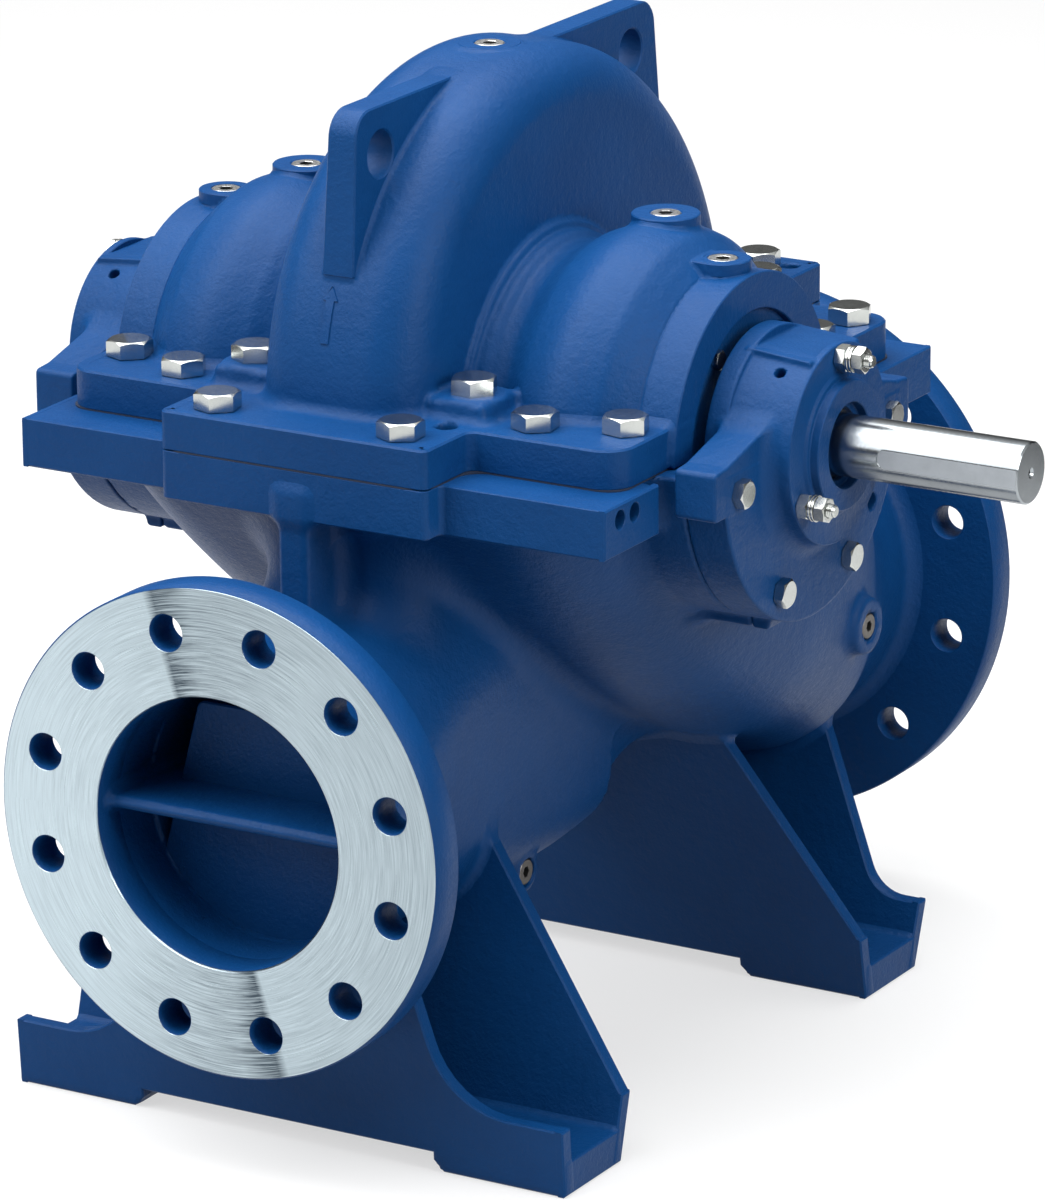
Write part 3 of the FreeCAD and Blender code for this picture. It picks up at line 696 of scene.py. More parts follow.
def suction_branch(inset: float = 0.0) -> Form:
    """Branch from the suction flange, widening round both sides of the volute.

    Args:
        inset: How far the surface lies inside the casting's outside.

    Returns:
        The branch.
    """
    s = SIZES
    bore = s.suction_bore + s.wall
    sections = [
        Section(s.suction_face - 12, bore, s.nozzle - bore, s.nozzle + bore, bore),
        Section(400, bore, s.nozzle - bore, s.nozzle + bore, bore),
        Section(340, 158, 124, 410, 140),
        Section(270, 190, 148, 452, 130),
        Section(200, 208, 182, 500, 120),
        Section(120, 213, 214, 560, 110),
        Section(40, 213, 255, 600, 105),
        Section(-40, 211, 305, 620, 100),
        Section(-110, 206, 362, 620, 90),
        Section(-170, 190, 420, 620, 60),
        Section(-200, 170, 452, 620, 30),
    ]
    return duct(sections, inset, 1.25)


def flange_plan(wing: float, front: float, rear: float, inset: float = 1.0) -> list[Pair]:
    """Outline of one plate of the split flange, seen from above, drawn in by the inset.

    Args:
        wing: Distance of the wings' ends from the middle.
        front, rear: Depth of the wings towards the discharge and the suction.
        inset: How far the outline is drawn in.

    Returns:
        Corners in (X, Y).
    """
    s = SIZES
    centre, wing = s.centre_half - inset, wing - inset
    half = [(centre, inset - s.centre_front), (centre, inset - front), (wing, inset - front)]
    if wing > s.housing_end:
        gap, back = s.wing_gap + inset, s.housing_end - 6 - inset
        half += [(wing, -gap), (back, -gap), (back, gap), (wing, gap)]
    half += [(wing, rear - inset), (centre, rear - inset), (centre, s.centre_rear - inset)]
    return half + [(-x, y) for x, y in reversed(half)]


@dataclass(frozen=True)
class Lug:
    """Upright lifting plate across the shaft, a little thinner towards its top, with a hole."""

    name: str
    start: float
    end: float
    root: tuple[Pair, ...]
    hole: Pair

    def outline(self) -> list[Pair]:
        """Corners in (Y, Z) from the inner end of the top, round the outer corner, to the root.

        Returns:
            The corners.
        """
        top = SIZES.lug_top
        outwards = 1.0 if self.end > self.start else -1.0
        arc = [(self.end + outwards * 20 * (math.sin(a) - 1), top - 20 + 20 * math.cos(a))
               for a in np.radians(np.linspace(0, 90, 9))]
        return [(self.start, top), *arc, *self.root]

    def form(self) -> Form:
        """The plate a little inside its crisp faces, for the fillet at its root.

        Returns:
            The plate.
        """
        inner = outline_of(self.outline(), [0.0] * len(self.outline()), 0.8)
        body = plate(0, inner, -12.4, 12.4, 1.2, 2.0)
        draft = Form(lambda x, y, z: np.abs(x) - 12.4 + 0.014 * (z - 620))
        return body.within(draft, 2.0).without(cylinder(0, self.hole, 18.0, -40, 40), 1.0)


LUGS = (Lug("front_lug", -28, -172.5, ((-180.3, 621), (-140, 600), (0, 560), (0, 700)),
            (-139.5, 701.8)),
        Lug("rear_lug", 90, 254, ((266, 590), (200, 560), (60, 560), (60, 700)), (217, 702)))


@dataclass(frozen=True)
class Boss:
    """Round boss with an upright axis and the plug in it."""

    name: str
    place: Pair
    top: float
    radius: float

    @property
    def tip(self) -> Optional[Pair]:
        """Corner in which a seal boss ends, beside the round part.

        Returns:
            Corner in (X, Y), or none on a round boss.
        """
        if not self.name.endswith("seal_plug"):
            return None
        return self.place[0] - math.copysign(16.0, self.place[0]), self.place[1] - 19.4

    def joined_to(self, form: Form) -> Form:
        """Casing with this boss on it and the hole for the plug in it.

        Args:
            form: The casing.

        Returns:
            The casing with the boss.
        """
        x, y = self.place
        fillet = 3.0 if self.tip else 5.0
        if self.tip:
            corner = [self.tip, (x, y - 20), (x, y + 20), (x - math.copysign(14, x), y + 13)]
            form = form.joined(plate(2, corner, 590, self.top - 0.5, 1, 1), fillet)
        round_part = cylinder(2, self.place, self.radius - 0.5, self.top - 22, self.top - 0.5, 1)
        hole = cylinder(2, self.place, 12.0, self.top - 16, self.top + 9)
        return form.joined(round_part, fillet).without(hole, 0.8)


def plug_bosses() -> list[Boss]:
    """Bosses of the upper casing that carry plugs.

    Returns:
        The bosses.
    """
    s = SIZES
    bosses = [Boss("volute_vent_plug", (0.0, 31.5), s.crown, 23.0)]
    for name, side in (("drive_end", 1), ("free_end", -1)):
        bosses.append(Boss(name + "_suction_plug", (side * 151.5, 21.0), 640.5, 25.0))
        bosses.append(Boss(name + "_seal_plug", (side * 209.0, 1.0), 619.0, 20.0))
    return bosses


@dataclass(frozen=True)
class DrainBoss:
    """Round boss along the shaft's direction, with the drain plug in it."""

    name: str
    side: int
    face: float
    centre: Pair
    radius: float

    def form(self) -> Form:
        """The boss, reaching into the casing's wall."""
        body = cylinder(0, self.centre, self.radius, self.face - 47, self.face, 3)
        return body if self.side > 0 else Form(lambda x, y, z: body.distance(-x, y, z))

    def seat(self) -> Form:
        """The hole for the plug."""
        hole = cylinder(0, self.centre, 10.3, self.face - 9, self.face + 5)
        return hole if self.side > 0 else Form(lambda x, y, z: hole.distance(-x, y, z))


def drain_bosses() -> list[DrainBoss]:
    """Bosses of the lower casing that carry drain plugs.

    Returns:
        The bosses.
    """
    return [DrainBoss("drive_end_drain_plug", 1, 212.0, (225.0, 282.0), 22.0),
            DrainBoss("free_end_drain_plug", -1, 212.0, (225.0, 282.0), 22.0),
            DrainBoss("volute_drain_plug", 1, 75.0, (-51.0, 149.0), 16.0)]


@dataclass(frozen=True)
class FlangeBolt:
    """Place of a hex bolt of the split flange and the height it is seated at."""

    place: Pair
    seat: float


def flange_bolts() -> list[FlangeBolt]:
    """Bolts of the split flange, the same at both ends.

    Returns:
        The bolts' places.
    """
    top = SIZES.plate_top
    right = [((75.8, -221.7), top), ((91.1, -147.2), top + 15), ((146.5, -156.9), top),
             ((206.9, -135.4), top), ((72.0, 306.0), top), ((96.0, 262.0), top),
             ((150.0, 228.0 - 30), top), ((206.9, 198.0), top), ((208.0, 138.0), top)]
    return [FlangeBolt((sign * x, y), seat) for (x, y), seat in right for sign in (1, -1)]


def hollows() -> Form:
    """Spaces inside the casing: water passages, suction chambers and seal bores.

    Returns:
        The form to take out of the casing.
    """
    s = SIZES
    line = s.line
    branch = suction_branch(s.wall).within(slab(2, 0, 452)).within(slab(1, -140, 600), 20)
    chambers = suction_domes(s.wall).joined(branch, 10)
    chambers = chambers.without(volute().joined(discharge_duct(), 20))
    face = -s.discharge_face
    mouth = cylinder(1, (0, s.nozzle), s.discharge_bore, face - 9, face + 70)
    nose = [(face + 11, 261), (face + 11, 264), (face + 15, 267.5), (-120, 270), (-120, 243),
            (face + 15, 257.5)]
    splitter = plate(0, nose, -120, 120, 3)
    water = volute(s.wall).joined(discharge_duct(s.wall), 24).joined(mouth).without(splitter, 8)
    bores = cylinder(0, (0, line), s.seal_bore, 190, 300).both_ends()
    eyes = cylinder(0, (0, line), 98, -95, 95)
    neck = cylinder(0, (0, line), 62, -240, 240)
    inlet = cylinder(1, (0, s.nozzle), s.suction_bore, s.suction_face - 80, s.suction_face + 9)
    return water.joined(chambers).joined(bores).joined(eyes).joined(neck).joined(inlet)


# Feet and nozzle flanges.


@dataclass(frozen=True)
class FootWall:
    """Upright leaning wall of a foot: outline in (X, Z), rounding radii, and where it stands."""

    outline: tuple[Pair, ...]
    radii: tuple[float, ...]
    near: float
    far: float
    lean: float

    def form(self) -> Form:
        """The wall a little inside its crisp faces.

        Returns:
            The wall.
        """
        middle = (self.near + self.far) / 2
        half = abs(self.far - self.near) / 2 - 0.7

        def thick(x: Array, y: Array, z: Array) -> Array:
            """Distance across the leaning wall, less half its thickness."""
            return (np.abs(y - middle - self.lean * z) - half) * 0.94

        points = outline_of(self.outline, self.radii, 0.8, 4)
        return Form(lambda x, y, z: plan_distance(x, z, points)).within(Form(thick), 1.5)


def foot_arch() -> list[Pair]:
    """Outline in (X, Z) of the relief under the middle of a foot, from its left end.

    Returns:
        The corners.
    """
    s = SIZES
    left = [(-s.pad_inner, 0.0), (8 - s.pad_inner, 8.0), (8 - s.pad_inner, s.pad_relief)]
    return left + [(-x, z) for x, z in reversed(left)]


def foot_walls(side: int) -> list[FootWall]:
    """Inner and outer wall of the foot under the discharge (-1) or the suction (1).

    Args:
        side: -1 under the discharge, 1 under the suction.

    Returns:
        The inner and the outer wall.
    """
    s = SIZES
    inner_lean, outer_lean = (0.28, 0.07) if side < 0 else (0.20, 0.36)
    half = s.foot_half
    below = ((-half, 0), *foot_arch(), (half, 0), (half, s.foot_edge))
    apex = 60.0 if side < 0 else 98.0
    straight = (*below, (apex, 250), (-apex, 250), (-half, s.foot_edge))
    inner = FootWall(straight, (0,) * 8 + (3, 8, 8, 3), side * s.foot_inner,
                     side * (s.foot_inner + s.foot_wall), -side * inner_lean)
    low, high, bend = ((138.0, 53.0, 65.0), (192.6, 31.0, 36.0))[side > 0]
    curved = (*below, (low, s.foot_edge), (high, 330), (-high, 330), (-low, s.foot_edge),
              (-half, s.foot_edge))
    outer = FootWall(curved, (0,) * 8 + (3, bend, 8, 8, bend, 3),
                     side * (s.foot_outer - s.foot_wall), side * s.foot_outer, side * outer_lean)
    return [inner, outer]


def foot(side: int) -> Form:
    """Cast foot under a nozzle: a base plate with an upright leaning wall along each edge.

    Args:
        side: -1 for the foot under the discharge, 1 for the one under the suction.

    Returns:
        The foot.
    """
    s = SIZES
    low, high = sorted((side * (s.foot_inner + 2), side * (s.foot_outer - 2)))
    half = s.foot_half - 1.5
    form = box((-half, low, 0.7), (half, high, s.foot_base), 1.5)
    for wall in foot_walls(side):
        form = form.joined(wall.form(), 6)
    arch = plate(1, [(x, z or -5.0) for x, z in foot_arch()], -400, 400, 0).grown(0.7)
    form = form.without(arch, 1.0)
    hole = cylinder(2, (195.0, side * 227.0), 11.0, -10, 60).both_ends()
    return form.without(hole, 1.0)


def nozzle_flange(side: int) -> Form:
    """Core of the round flange at a nozzle, a little inside the machined disc that covers it.

    Args:
        side: -1 for the discharge, 1 for the suction.

    Returns:
        The disc.
    """
    s = SIZES
    if side < 0:
        low, high, rim = -s.discharge_face, s.discharge_plate - s.discharge_face, s.discharge_rim
    else:
        low, high, rim = s.suction_face - s.suction_plate, s.suction_face, s.suction_rim
    return cylinder(1, (0, s.nozzle), rim - 1.0, low + 0.8, high - 0.8, 2.0)


def flange_holes(side: int) -> Form:
    """The twelve bolt holes of a nozzle flange.

    Args:
        side: -1 for the discharge, 1 for the suction.

    Returns:
        The holes.
    """
    s = SIZES
    pitch, face = DISCHARGE_PITCH, s.discharge_face
    if side > 0:
        pitch, face = SUCTION_PITCH, s.suction_face

    def distance(x: Array, y: Array, z: Array) -> Array:
        """Distance to the nearest of twelve holes, by folding the angle."""
        step = math.pi / 6
        angle = np.arctan2(z - s.nozzle, x)
        radius = np.hypot(x, z - s.nozzle)
        local = np.mod(angle, step) - step / 2
        across = np.hypot(radius * np.cos(local) - pitch,
                          radius * np.sin(local)) - s.bolt_hole - 0.6
        return np.maximum(across, np.abs(y - side * face) - 45)

    return Form(distance)


def slanted(place: Triple, direction: Triple, radius: float, reach: float) -> Form:
    """Round hole of a direction, centred on a place of the surface.

    Args:
        place: Place on the surface.
        direction: Unit direction of the hole.
        radius: Radius of the hole.
        reach: Its depth on each side of the place.

    Returns:
        The hole.
    """

    def distance(x: Array, y: Array, z: Array) -> Array:
        """Distance across the direction less the radius, and along it less the reach."""
        d = [v - p for v, p in zip((x, y, z), place)]
        along = sum(a * b for a, b in zip(d, direction))
        across = np.sqrt(np.maximum(sum(v * v for v in d) - along * along, 0))
        return np.maximum(across - radius, np.abs(along) - reach)

    return Form(distance)


# Hard-edged pieces: turned rings, bolts, nuts, plugs and flange discs.


@dataclass
class Facets:
    """Points in millimetres and polygons of a hard-edged piece."""

    points: Array
    faces: list[tuple[int, ...]]

    def placed(self, direction: Triple, place: Triple, spin: float = 0.0) -> "Facets":
        """Piece moved so that its local Z points along a direction.

        Args:
            direction: Unit direction of the local Z axis.
            place: Where the local origin goes.
            spin: Turn about the direction, in degrees.

        Returns:
            The moved piece.
        """
        ahead = np.array(direction, float)
        side = np.cross((0, 0, 1), ahead) if abs(ahead[2]) < 0.9 else np.array((1.0, 0.0, 0.0))
        side = side / np.linalg.norm(side)
        other = np.cross(ahead, side)
        c, s = math.cos(math.radians(spin)), math.sin(math.radians(spin))
        basis = np.stack([side * c + other * s, other * c - side * s, ahead])
        return Facets(self.points @ basis + np.array(place, float), self.faces)

    def across_shaft(self) -> list["Facets"]:
        """This (Y, Z) outline piece, its height laid along X, and its mirror image.

        Returns:
            The piece at +X and the one at -X.
        """
        u, v, h = self.points.T
        turned_in = [tuple(reversed(face)) for face in self.faces]
        return [Facets(np.column_stack([h, u, v]), self.faces),
                Facets(np.column_stack([-h, u, v]), turned_in)]

    def with_piece(self, other: "Facets") -> "Facets":
        """Both pieces as one.

        Args:
            other: The piece to add.

        Returns:
            Both in one.
        """
        shift = len(self.points)
        moved = [tuple(i + shift for i in face) for face in other.faces]
        return Facets(np.concatenate([self.points, other.points]), self.faces + moved)


def together(pieces: Sequence[Facets]) -> Facets:
    """Several pieces as one.

    Args:
        pieces: The pieces.

    Returns:
        All in one.
    """
    result = pieces[0]
    for piece in pieces[1:]:
        result = result.with_piece(piece)
    return result


def skinned(rings: Sequence[Array], loop: bool) -> Facets:
    """Surface through rings of points; a ring of one point closes the surface there.

    Args:
        rings: Rings of points, in order.
        loop: Whether the last ring joins the first.

    Returns:
        The surface, in quads, and in triangles at a single point.
    """
    starts, total = [], 0
    for ring in rings:
        starts.append(total)
        total += len(ring)
    faces: list[tuple[int, ...]] = []
    pairs = list(zip(range(len(rings) - 1), range(1, len(rings))))
    if loop:
        pairs.append((len(rings) - 1, 0))
    for first, second in pairs:
        a, b = len(rings[first]), len(rings[second])
        for j in range(max(a, b)):
            k = (j + 1) % max(a, b)
            if a == 1:
                faces.append((starts[first], starts[second] + k, starts[second] + j))
            elif b == 1:
                faces.append((starts[first] + j, starts[first] + k, starts[second]))
            else:
                faces.append((starts[first] + j, starts[first] + k, starts[second] + k,
                              starts[second] + j))
    return Facets(np.concatenate(rings), faces)


def circle(radius: float, height: float, count: int) -> Array:
    """Ring of points about the local Z axis, one point where the radius is 0.

    Args:
        radius: Its radius.
        height: Its height.
        count: Number of points.

    Returns:
        The points.
    """
    if radius <= 0:
        return np.array([[0.0, 0.0, height]])
    angle = np.arange(count) * 2 * math.pi / count
    return np.stack([radius * np.cos(angle), radius * np.sin(angle), np.full(count, height)],
                    axis=1)


def hexagon(flats: float, height: Array, count: int = 72) -> Array:
    """Ring along a hexagon about the local Z axis.

    Args:
        flats: Width across the flats.
        height: Height of each point, or of all.
        count: Number of points.

    Returns:
        The points.
    """
    angle = np.arange(count) * 2 * math.pi / count
    radius = hexagon_radius(flats, count)
    return np.stack([radius * np.cos(angle), radius * np.sin(angle),
                     np.broadcast_to(np.asarray(height, float), angle.shape)], axis=1)


def hexagon_radius(flats: float, count: int = 72) -> Array:
    """Distance of a hexagon's outline from its middle, at even steps of angle.

    Args:
        flats: Width across the flats.
        count: Number of angles.

    Returns:
        Half the flats over the cosine of the angle from the nearest flat's middle.
    """
    angle = np.arange(count) * 2 * math.pi / count
    local = np.mod(angle, math.pi / 3) - math.pi / 6
    return flats / 2 / np.cos(local)


def bevelled(profile: Sequence[Pair], by: float) -> list[Pair]:
    """Profile with a small bevel at each corner that is off the axis.

    Args:
        profile: Corners as (radius, height).
        by: Length cut off each side of a corner.

    Returns:
        The corners with two for each one that is bevelled.
    """
    result = []
    count = len(profile)
    for i, here in enumerate(profile):
        before, after = np.array(profile[i - 1]), np.array(profile[(i + 1) % count])
        spot = np.array(here, float)
        a, b = before - spot, after - spot
        la, lb = np.linalg.norm(a), np.linalg.norm(b)
        if here[0] <= 0 or min(la, lb) < 2.2 * by:
            result.append(tuple(spot))
            continue
        result += [tuple(spot + a / la * by), tuple(spot + b / lb * by)]
    return result


def lathe(profile: Sequence[Pair], bevel: float = 0.6, count: int = 96) -> Facets:
    """Piece turned about the local Z axis.

    Args:
        profile: Corners as (radius, height), round the section with the outer side going up;
            a profile that starts and ends on the axis makes a full piece.
        bevel: Bevel at each corner.
        count: Points round the axis.

    Returns:
        The piece.
    """
    full = profile[0][0] <= 0 and profile[-1][0] <= 0
    corners = bevelled(profile, bevel) if bevel > 0 else list(profile)
    return skinned([circle(r, h, count) for r, h in corners], not full)


def hex_head(flats: float, height: float) -> Facets:
    """Hexagon head seated at local height 0, bevelled round its top.

    Args:
        flats: Width across the flats.
        height: Height of the head.

    Returns:
        The head.
    """
    rim = flats * 0.475
    drop = (hexagon_radius(flats) - rim) * math.tan(math.radians(30))
    washer = [circle(0, 0, 72), circle(flats * 0.46, 0, 72), circle(flats * 0.46, 0.6, 72)]
    head = [hexagon(flats, 0.6), hexagon(flats, height - drop), circle(rim, height, 72)]
    return skinned([*washer, *head, circle(0, height, 72)], False)


def hex_nut(flats: float, height: float, hole: float) -> Facets:
    """Hexagon nut standing on local height 0, bevelled round both ends.

    Args:
        flats: Width across the flats.
        height: Height of the nut.
        hole: Radius of its hole.

    Returns:
        The nut.
    """
    rim = flats * 0.475
    drop = (hexagon_radius(flats) - rim) * math.tan(math.radians(30))
    return skinned([circle(hole, 0, 72), circle(rim, 0, 72), hexagon(flats, drop),
                    hexagon(flats, height - drop), circle(rim, height, 72), circle(hole + 0.6,
                                                                                   height, 72),
                    circle(hole, height - 0.6, 72)], True)


def socket_plug(radius: float, depth: float, flats: float) -> Facets:
    """Plug with a hexagon socket, its top at local height 0.

    Args:
        radius: Radius of the plug.
        depth: Its length.
        flats: Width of the socket across its flats.

    Returns:
        The plug.
    """
    return skinned([circle(0, -depth, 72), circle(radius, -depth, 72), circle(radius, -0.9, 72),
                    circle(radius - 0.9, 0, 72), hexagon(flats + 0.6, 0.0), hexagon(flats, -0.5),
                    hexagon(flats, -7.0), circle(0, -8.5, 72)], False)


def socket_shade_lining(flats: float) -> Facets:
    """Painted shade inside a plug's hexagon socket: a dark sheet in it, the plug's top at local
    height 0.
    """
    return skinned([circle(0, -7.2, 72), hexagon(flats - 0.1, -7.1), hexagon(flats - 0.1, -0.35),
                    hexagon(flats - 0.4, -0.35), hexagon(flats - 0.5, -6.4), circle(0, -6.5,
                                                                                    72)], False)


def teardrop(centre: Pair, radius: float, tip: Pair, count: int = 60) -> Array:
    """Outline of a circle drawn out to a tip, counter-clockwise.

    Args:
        centre: Middle of the circle.
        radius: Its radius.
        tip: The tip.
        count: Points on the arc.

    Returns:
        The points.
    """
    aim = math.atan2(tip[1] - centre[1], tip[0] - centre[0])
    spread = math.acos(radius / math.dist(centre, tip))
    angle = np.linspace(aim + spread, aim + 2 * math.pi - spread, count)
    ring = np.stack([centre[0] + radius * np.cos(angle), centre[1] + radius * np.sin(angle)],
                    axis=1)
    return np.concatenate([ring, [tip]])


def prism(corners: Sequence[Pair], radii: Sequence[float], low: float, high: float, bevel: float,
          hole: Optional[tuple[float, float, float]] = None) -> Facets:
    """Straight piece of an outline between two heights, its long edges bevelled.

    Args:
        corners: Corners of the outline, counter-clockwise.
        radii: Rounding radius at each corner.
        low: Lower height.
        high: Upper height.
        bevel: Size of the bevels.
        hole: Middle and radius of a hole through it.

    Returns:
        The piece.
    """
    levels = ((bevel, low), (0.0, low + bevel), (0.0, high - bevel), (bevel, high))
    outer = [np.array([(u, v, h) for u, v in outline_of(corners, radii, inset)]) for inset,
             h in levels]
    pieces = [skinned(outer, False)]
    top, bottom = [outer[-1]], [outer[0]]
    if hole:
        middle = np.array([hole[0], hole[1], 0.0])
        inner = [circle(hole[2] + inset, h, 64) + middle for inset, h in reversed(levels)]
        pieces.append(skinned(inner, False))
        top.append(inner[0])
        bottom.append(inner[-1])
    return together(pieces + [filled(top, True), filled(bottom, False)])


def rim_strip(path: Sequence[Pair], radii: Sequence[float], depth: float, low: float, high: float,
              bevels: Pair, left_out: int = 0) -> Facets:
    """Edge of a plate along an open path: outer face, bevels, and a strip of its two flat faces.

    Args:
        path: Corners of the outline, the last joined to the first by the side left out.
        radii: Rounding radius at each corner.
        depth: Width of the strips.
        low: Lower height.
        high: Upper height.
        bevels: Size of the lower and the upper bevel.
        left_out: Points of the outline left out at each end.

    Returns:
        The edge, closed at its two ends.
    """
    under, over = bevels
    levels = ((depth, low), (under, low), (0.0, low + under), (0.0, high - over), (over, high),
              (depth, high))
    lines = [outline_of(path, radii, inset) for inset, _ in levels]
    rings = [np.array([(*line[k], h) for line, (_, h) in zip(lines, levels)])
             for k in range(left_out, len(lines[0]) - left_out)]
    ends = [np.array([rings[0].mean(axis=0)]), np.array([rings[-1].mean(axis=0)])]
    return skinned(ends[:1] + rings + ends[1:], False)


def half_ring(profile: Sequence[Pair], spread: float, bevel: float = 0.8,
              count: int = 121) -> Facets:
    """Ring about the local Z axis over part of a turn, closed at both ends.

    Args:
        profile: Section as (radius, height) corners, the outer side going up.
        spread: Half the angle it covers, in degrees, on each side of local Y.
        bevel: Bevel at each corner.
        count: Stations along the ring.

    Returns:
        The piece.
    """
    corners = bevelled(profile, bevel) if bevel > 0 else list(profile)
    rings = [np.array([[r * math.cos(a), r * math.sin(a), h] for r, h in corners])
             for a in np.radians(np.linspace(90 - spread, 90 + spread, count))]
    middles = [ring.mean(axis=0, keepdims=True) for ring in (rings[0], rings[-1])]
    return skinned([middles[0], *rings, middles[1]], False)


def threaded_rod(radius: float, length: float, pitch: float) -> Facets:
    """Rod from local height 0 with turned grooves as its thread and a bevelled tip.

    Args:
        radius: Outer radius.
        length: Length of the rod.
        pitch: Distance between grooves.

    Returns:
        The rod.
    """
    profile = [(0.0, 0.0), (radius - 0.6, 0.0)]
    steps = int((length - 1.5) / pitch)
    for i in range(steps):
        profile += [(radius, (i + 0.5) * pitch), (radius - 0.6, (i + 1.0) * pitch)]
    profile += [(radius - 0.6, length - 1.0), (radius - 1.6, length), (0.0, length)]
    return lathe(profile, 0.0, 48)


def flange_disc(rim: float, bore: float, pitch: float, hole: float, thickness: float) -> Facets:
    """Disc with twelve holes between local heights 0 and its thickness, edges bevelled.

    Args:
        rim: Outer radius.
        bore: Radius of the bore.
        pitch: Radius of the circle of holes.
        hole: Radius of a hole.
        thickness: Its thickness.

    Returns:
        The disc.
    """
    fine, coarse = 180, 40
    levels = [(0.0, 1.0), (1.0, 0.0), (thickness - 1.0, 0.0), (thickness, 1.0)]
    outer = [circle(rim - cut, height, fine) for height, cut in levels]
    inner = [circle(bore + cut, height, fine) for height, cut in reversed(levels)]
    pieces = [skinned(outer, False), skinned(inner, False)]
    rounds: list[list[Array]] = []
    for number in range(12):
        angle = math.radians(15 + 30 * number)
        centre = np.array([pitch * math.cos(angle), pitch * math.sin(angle), 0.0])
        ring = [circle(hole + cut * 0.8, height, coarse) + centre for height,
                cut in reversed(levels)]
        pieces.append(skinned(ring, False))
        rounds.append(ring)
    for ends, up in ((0, False), (-1, True)):
        loops = [outer[ends], inner[-1 if ends == 0 else 0]]
        loops += [ring[-1 if ends == 0 else 0] for ring in rounds]
        pieces.append(filled(loops, up))
    return together(pieces)


def filled(loops: Sequence[Array], up: bool) -> Facets:
    """Flat face between an outer loop and the loops of its holes.

    Args:
        loops: The outer loop first, all at one height.
        up: Whether the face looks along local Z.

    Returns:
        The face, in triangles.
    """
    from_loops = [[Vector(point) for point in loop] for loop in loops]
    points = np.concatenate(loops)
    faces = []
    for a, b, c in tessellate_polygon(from_loops):
        turn = np.cross(points[b] - points[a], points[c] - points[a])[2]
        faces.append((a, b, c) if (turn > 0) == up else (a, c, b))
    return Facets(points, faces)


def mesh_of(name: str, skin: Skin) -> bpy.types.Mesh:
    """Blender mesh of a skin, smooth, with the skin's own normals.

    Args:
        name: Name of the mesh.
        skin: The skin, in millimetres.

    Returns:
        The mesh, in metres.
    """
    mesh = bpy.data.meshes.new(name)
    mesh.vertices.add(len(skin.points))
    mesh.vertices.foreach_set("co", (skin.points * MM).astype(np.float32).ravel())
    mesh.loops.add(len(skin.quads) * 4)
    mesh.loops.foreach_set("vertex_index", skin.quads.astype(np.int32).ravel())
    mesh.polygons.add(len(skin.quads))
    mesh.polygons.foreach_set("loop_start", np.arange(0, len(skin.quads) * 4, 4, dtype=np.int32))
    mesh.polygons.foreach_set("use_smooth", np.ones(len(skin.quads), dtype=bool))
    mesh.update(calc_edges=True)
    mesh.normals_split_custom_set_from_vertices(skin.normals.tolist())
    return mesh


def mesh_from(name: str, facets: Facets, smooth_under: float = 32.0) -> bpy.types.Mesh:
    """Blender mesh of a hard-edged piece, smooth where its faces meet at a small angle.

    Args:
        name: Name of the mesh.
        facets: The piece, in millimetres.
        smooth_under: Angle in degrees under which two faces meet smoothly.

    Returns:
        The mesh, in metres.
    """
    mesh = bpy.data.meshes.new(name)
    mesh.from_pydata((facets.points * MM).tolist(), [], facets.faces)
    mesh.polygons.foreach_set("use_smooth", np.ones(len(mesh.polygons), dtype=bool))
    mesh.set_sharp_from_angle(angle=math.radians(smooth_under))
    return mesh


def portions(skin: Skin, limit: int) -> list[Skin]:
    """Skin cut across its longest side into portions of fewer quads than the limit.

    Args:
        skin: The skin.
        limit: Most quads in a portion.

    Returns:
        The portions.
    """
    if len(skin.quads) <= limit:
        return [skin]
    middle = skin.points[skin.quads].mean(axis=1)
    axis = int(np.argmax(middle.max(axis=0) - middle.min(axis=0)))
    first = middle[:, axis] <= np.median(middle[:, axis])
    result = []
    for chosen in (first, ~first):
        quads = skin.quads[chosen]
        used, index = np.unique(quads, return_inverse=True)
        result += portions(Skin(skin.points[used], index.reshape(quads.shape), skin.normals[used]),
                           limit)
    return result


# Finishes.


class Finish(Enum):
    """Finishes of the pump's surfaces."""

    PAINT = "casing_paint"
    STEEL = "shaft_steel"
    FASTENER = "fastener_steel"
    PLUG = "plug_steel"
    BRONZE = "bronze"
    MACHINED = "machined_face"
    DARK_PLUG = "dark_plug"
    KEY = "key_steel"
    GASKET = "gasket"
    SHADOW = "socket_shadow"


